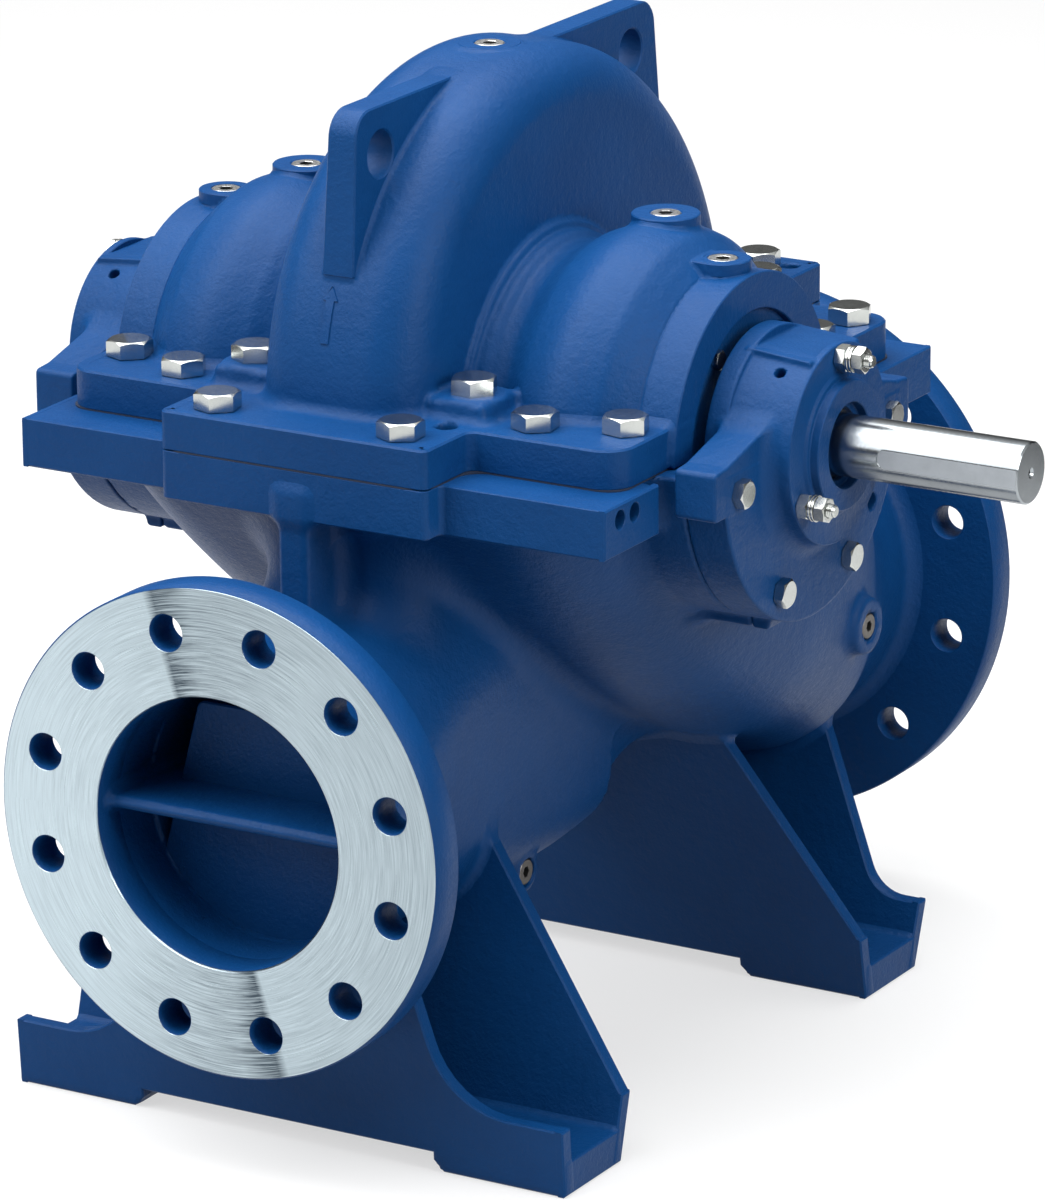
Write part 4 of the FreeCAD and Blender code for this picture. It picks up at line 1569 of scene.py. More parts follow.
class Shader:
    """Node material under construction."""

    def __init__(self, name: str) -> None:
        """Starts a material with one principled shader.

        Args:
            name: Name of the material.
        """
        self.material = bpy.data.materials.new(name)
        self.material.use_nodes = True
        self.tree = self.material.node_tree
        self.surface = self.tree.nodes["Principled BSDF"]
        self.coordinates = self.add("ShaderNodeTexCoord").outputs["Object"]

    def add(self, kind: str, **settings: object) -> bpy.types.Node:
        """New node with its properties set.

        Args:
            kind: Type of the node.

        Returns:
            The node.
        """
        node = self.tree.nodes.new(kind)
        for key, value in settings.items():
            setattr(node, key, value)
        return node

    def link(self, source: Socket, target: Socket) -> None:
        """Joins two sockets."""
        self.tree.links.new(source, target)

    def feed(self, name: str, source: Socket) -> None:
        """Joins a socket to an input of the surface."""
        self.link(source, self.surface.inputs[name])

    def preset(self, name: str, value: object) -> None:
        """Sets an input of the surface."""
        self.surface.inputs[name].default_value = value

    def noise(self, scale: float, detail: float = 3.0, rough: float = 0.55,
              vector: Optional[Socket] = None) -> Socket:
        """Noise over the object's own coordinates, scale per metre.

        Args:
            scale: Cells per metre.
            detail: Number of finer layers.
            rough: Share of each finer layer.
            vector: Coordinates, the object's own if left out.

        Returns:
            The noise's socket.
        """
        node = self.add("ShaderNodeTexNoise")
        node.inputs["Scale"].default_value = scale
        node.inputs["Detail"].default_value = detail
        node.inputs["Roughness"].default_value = rough
        self.link(vector or self.coordinates, node.inputs["Vector"])
        return node.outputs["Fac"]

    def ramp(self, value: Socket, low: float, high: float, start: float = 0.0,
             end: float = 1.0) -> Socket:
        """Value mapped from one range to another, held at its ends.

        Args:
            value: The value.
            low, high: Its range.
            start, end: Results at the ends of the range.

        Returns:
            The result's socket.
        """
        node = self.add("ShaderNodeMapRange")
        for socket, number in zip(("From Min", "From Max", "To Min", "To Max"),
                                  (low, high, start, end)):
            node.inputs[socket].default_value = number
        self.link(value, node.inputs["Value"])
        return node.outputs["Result"]

    def mix(self, share: Socket, first: tuple, second: tuple) -> Socket:
        """Colour between two colours.

        Args:
            share: Share of the second colour.
            first, second: The colours.

        Returns:
            The colour's socket.
        """
        node = self.add("ShaderNodeMix", data_type="RGBA")
        node.inputs["A"].default_value = (*first, 1.0)
        node.inputs["B"].default_value = (*second, 1.0)
        self.link(share, node.inputs["Factor"])
        return node.outputs["Result"]

    def math(self, operation: str, first: object, second: object = 0.0) -> Socket:
        """Arithmetic on sockets or numbers.

        Args:
            operation: Name of the operation.
            first, second: Sockets or numbers.

        Returns:
            The result's socket.
        """
        node = self.add("ShaderNodeMath", operation=operation)
        for socket, value in zip(node.inputs, (first, second)):
            if isinstance(value, Socket):
                self.link(value, socket)
            else:
                socket.default_value = value
        return node.outputs[0]

    def bump(self, height: Socket, distance: float, strength: float = 1.0,
             normal: Optional[Socket] = None) -> Socket:
        """Bump of a height, its distance in metres.

        Args:
            height: Height of the surface.
            distance: Metres for a height of 1.
            strength: Strength of the bump.
            normal: Normal to start from.

        Returns:
            The normal's socket.
        """
        node = self.add("ShaderNodeBump")
        node.inputs["Strength"].default_value = strength
        node.inputs["Distance"].default_value = distance
        self.link(height, node.inputs["Height"])
        if normal is not None:
            self.link(normal, node.inputs["Normal"])
        return node.outputs["Normal"]


CLOUD_SPREAD = (0.35, 0.65)
GRAIN_SPREAD = (0.3, 0.7)


@dataclass(frozen=True)
class CastingPaint:
    """Satin blue paint on cast iron, its grain showing through."""

    deep: Triple = (0.0020, 0.045, 0.166)
    light: Triple = (0.0028, 0.053, 0.190)
    cloud_scale: float = 9.0
    grain_scale: float = 420.0
    lump_scale: float = 120.0
    lump_share: float = 1.6
    relief: Pair = (0.0006, 0.7)
    rough: Pair = (0.38, 0.52)
    specular: float = 0.16

    def material(self) -> bpy.types.Material:
        """Paint whose colour drifts between two blues over grain plus lumps.

        Returns:
            The material.
        """
        shader = Shader("casing_paint")
        cloud = shader.noise(self.cloud_scale, 4.0)
        colour = shader.mix(shader.ramp(cloud, *CLOUD_SPREAD), self.deep, self.light)
        shader.feed("Base Color", colour)
        grain = shader.noise(self.grain_scale, 4.0, 0.6)
        lumps = shader.noise(self.lump_scale, 3.0, 0.5)
        height = shader.math("ADD", grain, shader.math("MULTIPLY", lumps, self.lump_share))
        shader.feed("Normal", shader.bump(height, *self.relief))
        shader.feed("Roughness", shader.ramp(grain, *GRAIN_SPREAD, *self.rough))
        shader.preset("Specular IOR Level", self.specular)
        return shader.material


@dataclass(frozen=True)
class BareMetal:
    """Bare metal with a fine uneven polish."""

    name: str
    colour: Triple
    rough: Pair
    grain: float
    dark_share: float = 0.9

    def material(self) -> bpy.types.Material:
        """Metal whose colour drifts down to its darker share, over a fine grain.

        Returns:
            The material.
        """
        shader = Shader(self.name)
        cloud = shader.noise(60.0, 4.0)
        dark = tuple(c * self.dark_share for c in self.colour)
        shader.feed("Base Color", shader.mix(shader.ramp(cloud, *CLOUD_SPREAD), dark, self.colour))
        shader.preset("Metallic", 1.0)
        fine = shader.noise(self.grain, 3.0)
        shader.feed("Roughness", shader.ramp(fine, *GRAIN_SPREAD, *self.rough))
        shader.feed("Normal", shader.bump(fine, 0.00002, 0.25))
        return shader.material


@dataclass(frozen=True)
class TurnedFace:
    """Bare face turned on a lathe, its rings and marks its own, with a dark wedge of painted
    reflection and a painted slope of light across it.
    """

    dark: Triple = (0.05, 0.07, 0.09)
    bright: Triple = (0.50, 0.595, 0.645)
    ring_scale: Pair = (1400.0, 2.2)
    mark_scale: Pair = (900.0, 3.2)
    # Painted shade: turn, end, spread and depth of the dark wedge that stands for the rings'
    # reflection.
    painted_wedge_turn: float = 1.90
    painted_wedge_end: float = 0.985
    thin_painted_wedge: Pair = (0.93, 0.55)
    wide_painted_wedge: Pair = (0.70, 0.45)
    painted_wedge_depth: float = 1.15
    level: Pair = (0.62, 0.38)
    # Painted light: how much lighter the face is made on one side than on the other.
    slope: float = 0.9
    rough: Pair = (0.26, 0.42)

    def material(self) -> bpy.types.Material:
        """Shade = level + marks - painted wedge x (depth - marks) - painted slope x across.

        The marks are noise over (radius, angle) about the nozzle's axis, stretched along the
        angle; the wedge, painted shade for the rings' dark reflection, is a ramp of the angle that
        repeats at every half turn, and the slope paints one side of the face lighter than the
        other.

        Returns:
            The material.
        """
        shader = Shader("machined_face")
        split = shader.add("ShaderNodeSeparateXYZ")
        shader.link(shader.coordinates, split.inputs["Vector"])
        up = shader.math("SUBTRACT", split.outputs["Z"], SIZES.nozzle * MM)
        across = split.outputs["X"]
        square = shader.math("ADD", shader.math("MULTIPLY", across, across),
                             shader.math("MULTIPLY", up, up))
        radius = shader.math("SQRT", square)
        angle = shader.math("ARCTAN2", up, across)
        rings = shader.noise(1.0, 2.0, 0.5, self.polar(shader, radius, angle, self.ring_scale))
        marks = shader.noise(1.0, 4.0, 0.65, self.polar(shader, radius, angle, self.mark_scale))
        marks = shader.ramp(marks, *GRAIN_SPREAD)
        # Painted shade: a dark wedge of the angle, standing for the reflection of the turned rings.
        turn = shader.math("SUBTRACT", angle, self.painted_wedge_turn)
        turn = shader.math("FRACT", shader.math("MULTIPLY", turn, 1 / math.pi))
        thin, wide = (shader.math("MULTIPLY", shader.ramp(turn, start, self.painted_wedge_end), share)
                      for start, share in (self.thin_painted_wedge, self.wide_painted_wedge))
        behind = shader.math("SUBTRACT", 1.0, shader.ramp(turn, self.painted_wedge_end, 1.0))
        wedge = shader.math("MULTIPLY", shader.math("ADD", thin, wide), behind)
        painted_dulling = shader.math("MULTIPLY", wedge, shader.math("SUBTRACT", self.painted_wedge_depth, marks))
        base, gain = self.level
        shade = shader.math("ADD", base, shader.math("MULTIPLY", marks, gain))
        shade = shader.math("SUBTRACT", shade, painted_dulling)
        # Painted light: one side of the face made lighter and the other darker, along X.
        shade = shader.math("SUBTRACT", shade, shader.math("MULTIPLY", across, self.slope))
        shader.feed("Base Color", shader.mix(shade, self.dark, self.bright))
        shader.preset("Metallic", 1.0)
        shader.feed("Roughness", shader.ramp(rings, *GRAIN_SPREAD, *self.rough))
        shader.feed("Normal", shader.bump(rings, 0.00025, 0.7))
        return shader.material

    @staticmethod
    def polar(shader: Shader, radius: Socket, angle: Socket,
              scale: Pair) -> Socket:
        """Vector of the radius and the angle, each times its scale.

        Args:
            shader: Material under construction.
            radius: Distance from the nozzle's axis.
            angle: Angle about that axis.
            scale: Scale of the radius and of the angle.

        Returns:
            The vector's socket.
        """
        vector = shader.add("ShaderNodeCombineXYZ")
        shader.link(shader.math("MULTIPLY", radius, scale[0]), vector.inputs["X"])
        shader.link(shader.math("MULTIPLY", angle, scale[1]), vector.inputs["Y"])
        return vector.outputs["Vector"]


@dataclass(frozen=True)
class DullCoat:
    """Dull non-metal with a fine grain."""

    name: str
    colour: Triple
    rough: Pair
    light_share: float = 1.3

    def material(self) -> bpy.types.Material:
        """Coat whose colour drifts up to its lighter share, over a fine grain.

        Returns:
            The material.
        """
        shader = Shader(self.name)
        fine = shader.noise(300.0, 3.0)
        light = tuple(min(1.0, c * self.light_share) for c in self.colour)
        shader.feed("Base Color", shader.mix(fine, self.colour, light))
        shader.feed("Roughness", shader.ramp(fine, *GRAIN_SPREAD, *self.rough))
        shader.feed("Normal", shader.bump(fine, 0.0001, 0.4))
        return shader.material


COATS = {
    Finish.PAINT: CastingPaint(),
    Finish.STEEL: BareMetal("shaft_steel", (0.36, 0.39, 0.41), (0.18, 0.26), 500.0),
    Finish.FASTENER: BareMetal("fastener_steel", (0.56, 0.58, 0.56), (0.2, 0.25), 300.0),
    Finish.PLUG: BareMetal("plug_steel", (0.85, 0.85, 0.84), (0.25, 0.4), 700.0),
    Finish.BRONZE: BareMetal("bronze", (0.55, 0.36, 0.15), (0.3, 0.45), 400.0),
    Finish.MACHINED: TurnedFace(),
    Finish.DARK_PLUG: BareMetal("dark_plug", (0.16, 0.15, 0.14), (0.35, 0.5), 600.0),
    Finish.KEY: BareMetal("key_steel", (0.42, 0.45, 0.48), (0.3, 0.42), 600.0),
    Finish.GASKET: DullCoat("gasket", (0.012, 0.020, 0.045), (0.6, 0.8)),
    Finish.SHADOW: DullCoat("socket_shadow", (0.012, 0.012, 0.011), (0.5, 0.7)),
}


class Body(Enum):
    """Rigid bodies of the pump."""

    CASING = "casing"
    ROTOR = "rotor"


class Workshop:
    """Makes the pieces and gives each its finish and the body it rides on."""

    def __init__(self) -> None:
        """Makes the materials."""
        self.finishes = {finish: coat.material() for finish, coat in COATS.items()}

    def finish_nodes(self) -> None:
        """Gives every node of the construction the material of its slot."""
        slots = {part["node"]: part["material_slot"] for part in frame["record"]["subparts"]}
        by_name = {finish.value: finish for finish in Finish}
        for name, node in frame["nodes"].items():
            material = self.finishes[by_name[slots[name]]]
            for slot in node.material_slots:
                slot.material = material
            if not node.material_slots:
                node.data.materials.append(material)

    def piece(self, name: str, mesh: bpy.types.Mesh, finish: Finish = Finish.PAINT,
              body: Body = Body.CASING, stands_for: Sequence[str] = ()) -> Thing:
        """Object of a mesh, with its finish, riding on a body.

        Args:
            name: Name of the piece.
            mesh: Its mesh, in metres.
            finish: Its finish.
            body: Body it rides on.
            stands_for: Nodes of the construction it replaces.

        Returns:
            The object.
        """
        mesh.materials.append(self.finishes[finish])
        thing = bpy.data.objects.new(name, mesh)
        bpy.context.scene.collection.objects.link(thing)
        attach(thing, body.value)
        if stands_for:
            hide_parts(*stands_for)
        return thing

    def crisp(self, name: str, pieces: Sequence[Facets], smooth_under: float,
              *dress: object, **more: object) -> Thing:
        """Object of hard-edged pieces, dressed as Workshop.piece does it.

        Args:
            name: Name of the object.
            pieces: Its pieces.
            smooth_under: Angle in degrees under which two faces meet smoothly.
            dress, more: What Workshop.piece takes after the mesh.

        Returns:
            The object.
        """
        return self.piece(name, mesh_from(name, together(pieces), smooth_under), *dress, **more)


# Sub-assemblies.


class SubAssembly(ABC):
    """Part of the pump that builds its own pieces and dresses them."""

    @abstractmethod
    def build(self, shop: Workshop) -> list[Thing]:
        """Builds and dresses the pieces; each sub-assembly's own says how they are worked out.

        Args:
            shop: Where the pieces are made.

        Returns:
            The pieces.
        """


def coarser(step: float) -> float:
    return step * 1.0


@dataclass(frozen=True)
class Casting(SubAssembly):
    """A cast half of the casing, covered in its box by a lattice of a step."""

    name: str
    low: Triple
    high: Triple
    step: float

    @abstractmethod
    def form(self) -> Form:
        """The casting's form."""

    def build(self, shop: Workshop) -> list[Thing]:
        """Builds the casting's skin in portions that each stay light."""
        skin = skin_of(self.form(), self.low, self.high, coarser(self.step))
        names = ("%s_%d" % (self.name, number) for number in count_from(1))
        return [shop.piece(name, mesh_of(name, part), stands_for=[self.name])
                for name, part in zip(names, portions(skin, PORTION))]


@dataclass(frozen=True)
class UpperCasing(Casting):
    """Upper half of the casing with its flange, domes, lugs and bosses."""

    name: str = "upper_casing"
    low: Triple = (-236, -250, 490)
    high: Triple = (236, 342, 750)
    step: float = 3.2
    jack_holes: tuple[Pair, ...] = ((90.0, -184.0), (-90.0, -184.0), (92.8, 317.6), (-92.8, 317.6))
    raised_corner: Pair = (91.1, -147.2)
    raised_by: float = 15.0

    def form(self) -> Form:
        """Volute, collars, domes and housings, then flange, lugs and bosses, less the hollows.

        Returns:
            The form above the gasket.
        """
        s = SIZES
        flange = plate(2, flange_plan(s.wing_upper, s.front_upper, s.rear_upper), s.line - 10,
                       s.plate_top - 0.1, 20, 3)
        shell = volute().joined(collars(), 3).joined(suction_domes(), 8).joined(housings(), 1)
        step = s.plate_top + self.raised_by
        raised = box((66, -172, 500), (113, -120, step), 6).both_ends()
        raised = raised.joined(cylinder(2, self.raised_corner, 24, 500, step, 3).both_ends(), 3)
        form = shell.joined(raised, 6).joined(flange, 9)
        for lug in LUGS:
            form = form.joined(lug.form(), 5)
        for boss in plug_bosses():
            form = boss.joined_to(form)
        for place in self.jack_holes:
            form = form.without(cylinder(2, place, 8.0, 480, 560), 1.0)
        form = form.without(hollows(), 1.5)
        return form.within(slab(2, s.line + 0.9, s.crown - 0.4), 0.6)


@dataclass(frozen=True)
class LowerCasing(Casting):
    """Lower half of the casing with nozzles, feet, flange and seal housings."""

    name: str = "lower_casing"
    low: Triple = (-246, -354, -2)
    high: Triple = (246, 460, 500)
    step: float = 3.6
    rib_half: float = 12.5

    def form(self) -> Form:
        """Volute, duct, branch and barrels, then rib, flange, nozzles and feet, less the hollows.

        Returns:
            The form below the gasket.
        """
        s = SIZES
        flange = plate(2, flange_plan(s.wing_lower, s.front_lower, s.rear_lower),
                       s.plate_bottom + 0.1, s.line + 10, 6, 3)
        barrels = cylinder(0, (0, s.line), s.barrel_radius, 150, s.barrel_end, 2.0).both_ends()
        low_pad = box((196, -32, s.line - 136), (s.barrel_end, 32, s.line - 100), 3).both_ends()
        body = volute().joined(discharge_duct(), 22).joined(suction_branch(), 26)
        body = body.joined(barrels.joined(low_pad, 4), 12)
        rib = box((-self.rib_half, -s.centre_front, 330), (self.rib_half, -150, 480), 4)
        body = body.joined(rib, 16).joined(flange, 12)
        for side in (-1, 1):
            body = body.joined(nozzle_flange(side), 14)
            body = body.joined(foot(side), 10)
        for boss in drain_bosses():
            body = body.joined(boss.form(), 8).without(boss.seat(), 0.8)
        for place in WING_HOLES:
            body = body.without(cylinder(0, place, 7.0, 222, 260).both_ends(), 0.8)
        body = body.without(flange_holes(-1), 1.2).without(flange_holes(1), 1.2)
        body = body.without(hollows(), 2.0)
        return body.within(slab(2, -0.0, s.line - 0.1), 0.6)


@dataclass(frozen=True)
class End:
    """One end of the pump: its name and the side of the middle it is on."""

    name: str
    side: int

    @property
    def outwards(self) -> Triple:
        """Unit direction away from the middle."""
        return (float(self.side), 0.0, 0.0)

    def place(self, along: float, across: float = 0.0, up: float = 0.0) -> Triple:
        """Place at a distance from the middle, and off the shaft line."""
        return (self.side * along, across, SIZES.line + up)


ENDS = (End("drive_end", 1), End("free_end", -1))


@dataclass(frozen=True)
class BearingEnds(SubAssembly):
    """Bearing housings, their covers and all that is bolted to them, at both ends."""

    step: float = 1.7
    stud_circle: float = 63.6
    stud_angles: Triple = (90, 210, 330)
    open_bore: float = 31.0
    cover_rim: float = 66.0
    bolt_places: tuple[Triple, ...] = ((-112, -10, 4), (112, -10, 17), (-50.8, -99.3, 12),
                                       (50.8, -99.3, 26))
    screw_place: Pair = (44.8, 62.7)

    def form(self) -> Form:
        """Half disc joined with two arms, a round hub, a crown and a spigot, less its bores.

        Returns:
            The housing of the drive end.
        """
        s = SIZES
        line = s.line
        back, front = s.barrel_end + 0.3, s.bracket_front
        reach = s.arm_reach
        disc = cylinder(0, (0, line), s.barrel_radius, back, front, 2.0)
        disc = disc.within(slab(2, 0, line + 4))
        arms = plate(0, [(-reach, line - 24.5), (reach, line - 24.5), (reach, line + 11),
                         (128, line + 12.5), (71, line + 27), (-71, line + 27),
                         (-128, line + 12.5), (-reach, line + 11)], back, front, 2, 2.0)
        hub = turned([(244, -20), (s.cap_front - 0.2, -20), (s.cap_front - 0.2, s.hub_front),
                      (251, s.hub_back), (244, s.hub_back)], line, 1.2)
        form = disc.joined(arms, 1.0).joined(hub, 12)
        crown = plate(1, [(249, line + 40), (300, line + 40), (300, line + 68),
                          (249, line + 72.5)], -37, 37, 1, 1.0)
        above_crown = plate(1, [(230, line + 74.2), (310, line + 67.2), (310, line + 130),
                                (230, line + 130)], -60, 60)
        form = form.without(above_crown, 1.0).joined(crown, 1.5)
        spigot = cylinder(0, (0, line), s.spigot_radius, s.spigot_start, 254, 1.5)
        form = form.joined(spigot, 2)
        form = form.without(cylinder(0, (0, line), s.bracket_bore, 200, 330), 1.0)
        form = form.without(cylinder(0, (0, line), 60.5, 259, 330), 0.8)
        pad = plate(1, [(back, line - 136), (264, line - 136), (266, line - 130),
                        (266, line - 110), (back, line - 110)], -32, 32, 1, 1.5)
        form = form.joined(pad, 3)
        form = form.without(cylinder(0, (89, line - 69), 6.5, 240, 300), 0.8)
        return form.without(slanted((280, -38.5, line + 51.8), (0.0, -0.60, 0.80), 4.2, 12), 0.8)

    def build(self, shop: Workshop) -> list[Thing]:
        """Builds one housing's skin, mirrors it for the free end, and fits both out."""
        line = SIZES.line
        skin = skin_of(self.form(), (236, -148, line - 138), (305, 148, line + 80),
                       coarser(self.step))
        pieces = []
        for end in ENDS:
            mirror = np.array([float(end.side), 1.0, 1.0])
            quads = skin.quads if end.side > 0 else skin.quads[:, ::-1]
            housing = Skin(skin.points * mirror, quads, skin.normals * mirror)
            node = end.name + "_bearing_housing"
            name = node + "_casting"
            pieces.append(shop.piece(name, mesh_of(name, housing), stands_for=[node]))
            node = end.name + "_bearing_cover"
            pieces.append(shop.crisp(node + "_turned", [self.cover(end)], 32.0, stands_for=[node]))
            for name, heads in (("_cover_fasteners", self.cover_fasteners(end)),
                                ("_housing_bolts", self.housing_bolts(end)),
                                ("_seal_screws", self.seal_screws(end))):
                pieces.append(shop.crisp(end.name + name, heads, 25.0, Finish.FASTENER))
        return pieces

    def cover(self, end: End) -> Facets:
        """Turned bearing cover: open round the shaft at the drive end, closed at the free end.

        Args:
            end: The end it belongs to.

        Returns:
            The cover.
        """
        s = SIZES
        bore, start = self.open_bore, s.cap_front - 6
        hollow = [(bore, s.cover_front), (bore, 304.0), (26.5, 304.0), (26.5, 297.0), (bore, 297.0)]
        if end.side < 0:
            bore, hollow = 0.0, [(34.0, s.cover_front), (33.0, 308.5), (0.0, 308.5)]
        profile = [(bore, s.cover_seat), (self.cover_rim, s.cover_seat), (self.cover_rim, start),
                   (s.hub_front, start), (s.hub_front, s.cap_front), (53.0, s.cap_front),
                   (51.5, s.cap_front + 2.5), (48.0, s.cap_front + 2.5), (47.0, s.cover_front)]
        return lathe(profile + hollow, 0.7, 120).placed(end.outwards, (0.0, 0.0, s.line))

    def cover_fasteners(self, end: End) -> list[Facets]:
        """Studs with washers and double nuts at the drive end, bolts at the free end.

        Args:
            end: The end they belong to.

        Returns:
            The fasteners on their circle.
        """
        pieces = []
        washer = lathe([(5.6, 0), (9.6, 0), (9.6, 2.0), (5.6, 2.0)], 0.3, 48)
        nut = hex_nut(17.0, 8.4, 5.0)
        for number, angle in enumerate(self.stud_angles):
            turn = math.radians(angle)
            off = self.stud_circle * math.cos(turn), self.stud_circle * math.sin(turn)
            stack = [(washer, 303.1, 0), (hex_head(17.0, 6.4), 305.2, 9 + 31 * number)]
            if end.side > 0:
                stack = [(nut, 303.1, 9 + 31 * number), (washer, 312.2, 0), (washer, 314.6, 0),
                         (nut, 316.8, 24 + 17 * number),
                         (threaded_rod(5.0, 29.0, 1.5), 302.0, 0)]
            pieces += [piece.placed(end.outwards, end.place(along, *off), spin)
                       for piece, along, spin in stack]
        return pieces

    def housing_bolts(self, end: End) -> list[Facets]:
        """Bolts that hold the bearing housing, each turned a little differently."""
        return [hex_head(19.0, 8.5).placed(end.outwards, end.place(SIZES.bracket_front, a, b), spin)
                for a, b, spin in self.bolt_places]

    def seal_screws(self, end: End) -> list[Facets]:
        """Screws of the seal cover, on the face of its node.

        Args:
            end: The end they belong to.

        Returns:
            The screws.
        """
        low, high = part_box(end.name + "_seal_cover")
        face = max(abs(low[0]), abs(high[0])) / MM
        a, b = self.screw_place
        return [hex_head(13.0, 5.5).placed(end.outwards, end.place(face, across, up), 11)
                for across, up in ((a, b), (-a, b), (a, -b), (-a, -b))]


@dataclass(frozen=True)
class FlangeBolts(SubAssembly):
    """Hexagon bolts of the split flange, each turned a little differently."""

    flats: float = 30.0
    height: float = 12.8
    first_spin: float = -29.0
    spins: tuple[int, ...] = (7, 22, 41, 3, 14, 52, 33, 18, 26, 47, 5, 36, 11, 29, 44, 9, 20, 38)

    def build(self, shop: Workshop) -> list[Thing]:
        """Builds the bolts' heads as one piece."""
        heads = [hex_head(self.flats, self.height).placed(
                     (0, 0, 1), (*bolt.place, bolt.seat), self.first_spin + spin * 0.5)
                 for bolt, spin in zip(flange_bolts(), self.spins)]
        return [shop.crisp("flange_bolts", heads, 25.0, Finish.FASTENER)]


@dataclass(frozen=True)
class Plugs(SubAssembly):
    """Plugs with hexagon sockets in the bosses of both casing halves."""

    vent_radius: float = 11.2
    vent_depth: float = 12.0
    vent_flats: float = 9.5
    drain_radius: float = 9.8
    drain_depth: float = 8.6
    drain_flats: float = 7.5
    cap_hole: float = 11.4
    cap_depth: float = 9.0

    def build(self, shop: Workshop) -> list[Thing]:
        """Builds the plugs, the painted shade inside their sockets and the machined boss faces."""
        pieces, shade_linings = [], []
        for number, boss in enumerate(plug_bosses()):
            where = (0, 0, 1), (*boss.place, boss.top - 0.1), 10 + 21 * number
            plug = socket_plug(self.vent_radius, self.vent_depth, self.vent_flats).placed(*where)
            # Painted shade: a near-black sheet put inside the socket, where only shade falls.
            shade_linings.append(socket_shade_lining(self.vent_flats).placed(*where))
            pieces.append(shop.crisp(boss.name + "_socket", [plug], 25.0, Finish.PLUG,
                                     stands_for=[boss.name]))
        for number, boss in enumerate(drain_bosses()):
            place = (boss.side * (boss.face - 0.8), *boss.centre)
            where = (boss.side, 0, 0), place, 7 + 25 * number
            plug = socket_plug(self.drain_radius, self.drain_depth, self.drain_flats)
            shade_linings.append(socket_shade_lining(self.drain_flats).placed(*where))
            pieces.append(shop.crisp(boss.name + "_socket", [plug.placed(*where)], 25.0,
                                     Finish.DARK_PLUG, stands_for=[boss.name]))
        # Painted shade of all the sockets' insides, as one piece.
        pieces.append(shop.crisp("plug_socket_shade", shade_linings, 25.0, Finish.SHADOW))
        caps = [self.cap(boss) for boss in plug_bosses()]
        return pieces + [shop.crisp("boss_faces", caps, 25.0)]

    def cap(self, boss: Boss) -> Facets:
        """Machined top of a boss with crisp edges, round or drawn out to the boss's tip.

        Args:
            boss: The boss it covers.

        Returns:
            The cap, its top at the boss's top.
        """
        x, y = boss.place
        top, low, hole = boss.top, boss.top - self.cap_depth, self.cap_hole
        if not boss.tip:
            section = [(hole, low), (boss.radius, low), (boss.radius, top), (hole, top)]
            return lathe(section, 0.8, 120).placed((0, 0, 1), (x, y, 0.0))
        outer = []
        for inset, height in ((0.0, low), (0.0, top - 0.8), (0.8, top)):
            tip = (boss.tip[0] + inset * math.copysign(1.0, x), boss.tip[1] + inset)
            plan = teardrop(boss.place, boss.radius + 0.4 - inset, tip)
            outer.append(np.column_stack([plan, np.full(len(plan), height)]))
        round_hole = circle(hole, 0.0, 48) + np.array([x, y, 0.0])
        inner = [round_hole + np.array([0, 0, height]) for height in (top, low)]
        return together([skinned(outer, False), skinned(inner, False),
                         filled([outer[-1], inner[0]], True), filled([outer[0], inner[1]], False)])


@dataclass(frozen=True)
class SuctionDomes(SubAssembly):
    """Smooth outside of each suction dome, from its two-step collar to the seal housing."""

    collar: tuple[Pair, ...] = (
        (131.5, 60.0), (131.5, 68.6), (131.2, 70.2), (130.3, 71.6), (128.9, 72.4), (127.3, 72.8),
        (126.3, 73.6), (125.8, 75.0), (125.6, 77.0), (125.3, 79.0), (124.5, 81.0), (123.2, 82.7),
        (121.8, 84.2), (120.7, 86.0), (120.1, 88.5), (119.8, 92.0))
    end: tuple[Pair, ...] = ((115.0, 203.3), (113.4, 204.0), (112.0, 205.0))
    lift: float = 0.35
    thickness: float = 3.0
    spread: float = 87.5

    def build(self, shop: Workshop) -> list[Thing]:
        """Carries the dome's section, collar, radius by place and end, round the shaft line."""
        along = np.arange(95.0, 203.3, 1.5)
        outer = [*self.collar, *((float(dome_radius(a)) + self.lift, float(a)) for a in along),
                 *self.end]
        section = outer + [(r - self.thickness, h) for r, h in reversed(outer)]
        dome = half_ring(section, self.spread, 0.0, 151)
        return [shop.crisp(end.name + "_suction_dome",
                           [dome.placed(end.outwards, (0.0, 0.0, SIZES.line))], 40.0)
                for end in ENDS]


@dataclass(frozen=True)
class SealHousingBands(SubAssembly):
    """Turned outside and end face of the upper half of each seal housing."""

    start: float = 190.0
    step_depth: float = 3.0
    spread: float = 89.4

    def build(self, shop: Workshop) -> list[Thing]:
        """Carries the band's stepped section round the shaft line."""
        s = SIZES
        neck = s.housing_radius - self.step_depth
        section = [(s.seal_bore, self.start), (neck, self.start), (neck, s.housing_start),
                   (s.housing_radius, s.housing_start), (s.housing_radius, s.housing_end),
                   (s.seal_bore, s.housing_end)]
        band = half_ring(section, self.spread)
        return [shop.crisp(end.name + "_seal_housing_band",
                           [band.placed(end.outwards, (0.0, 0.0, s.line))], 30.0)
                for end in ENDS]


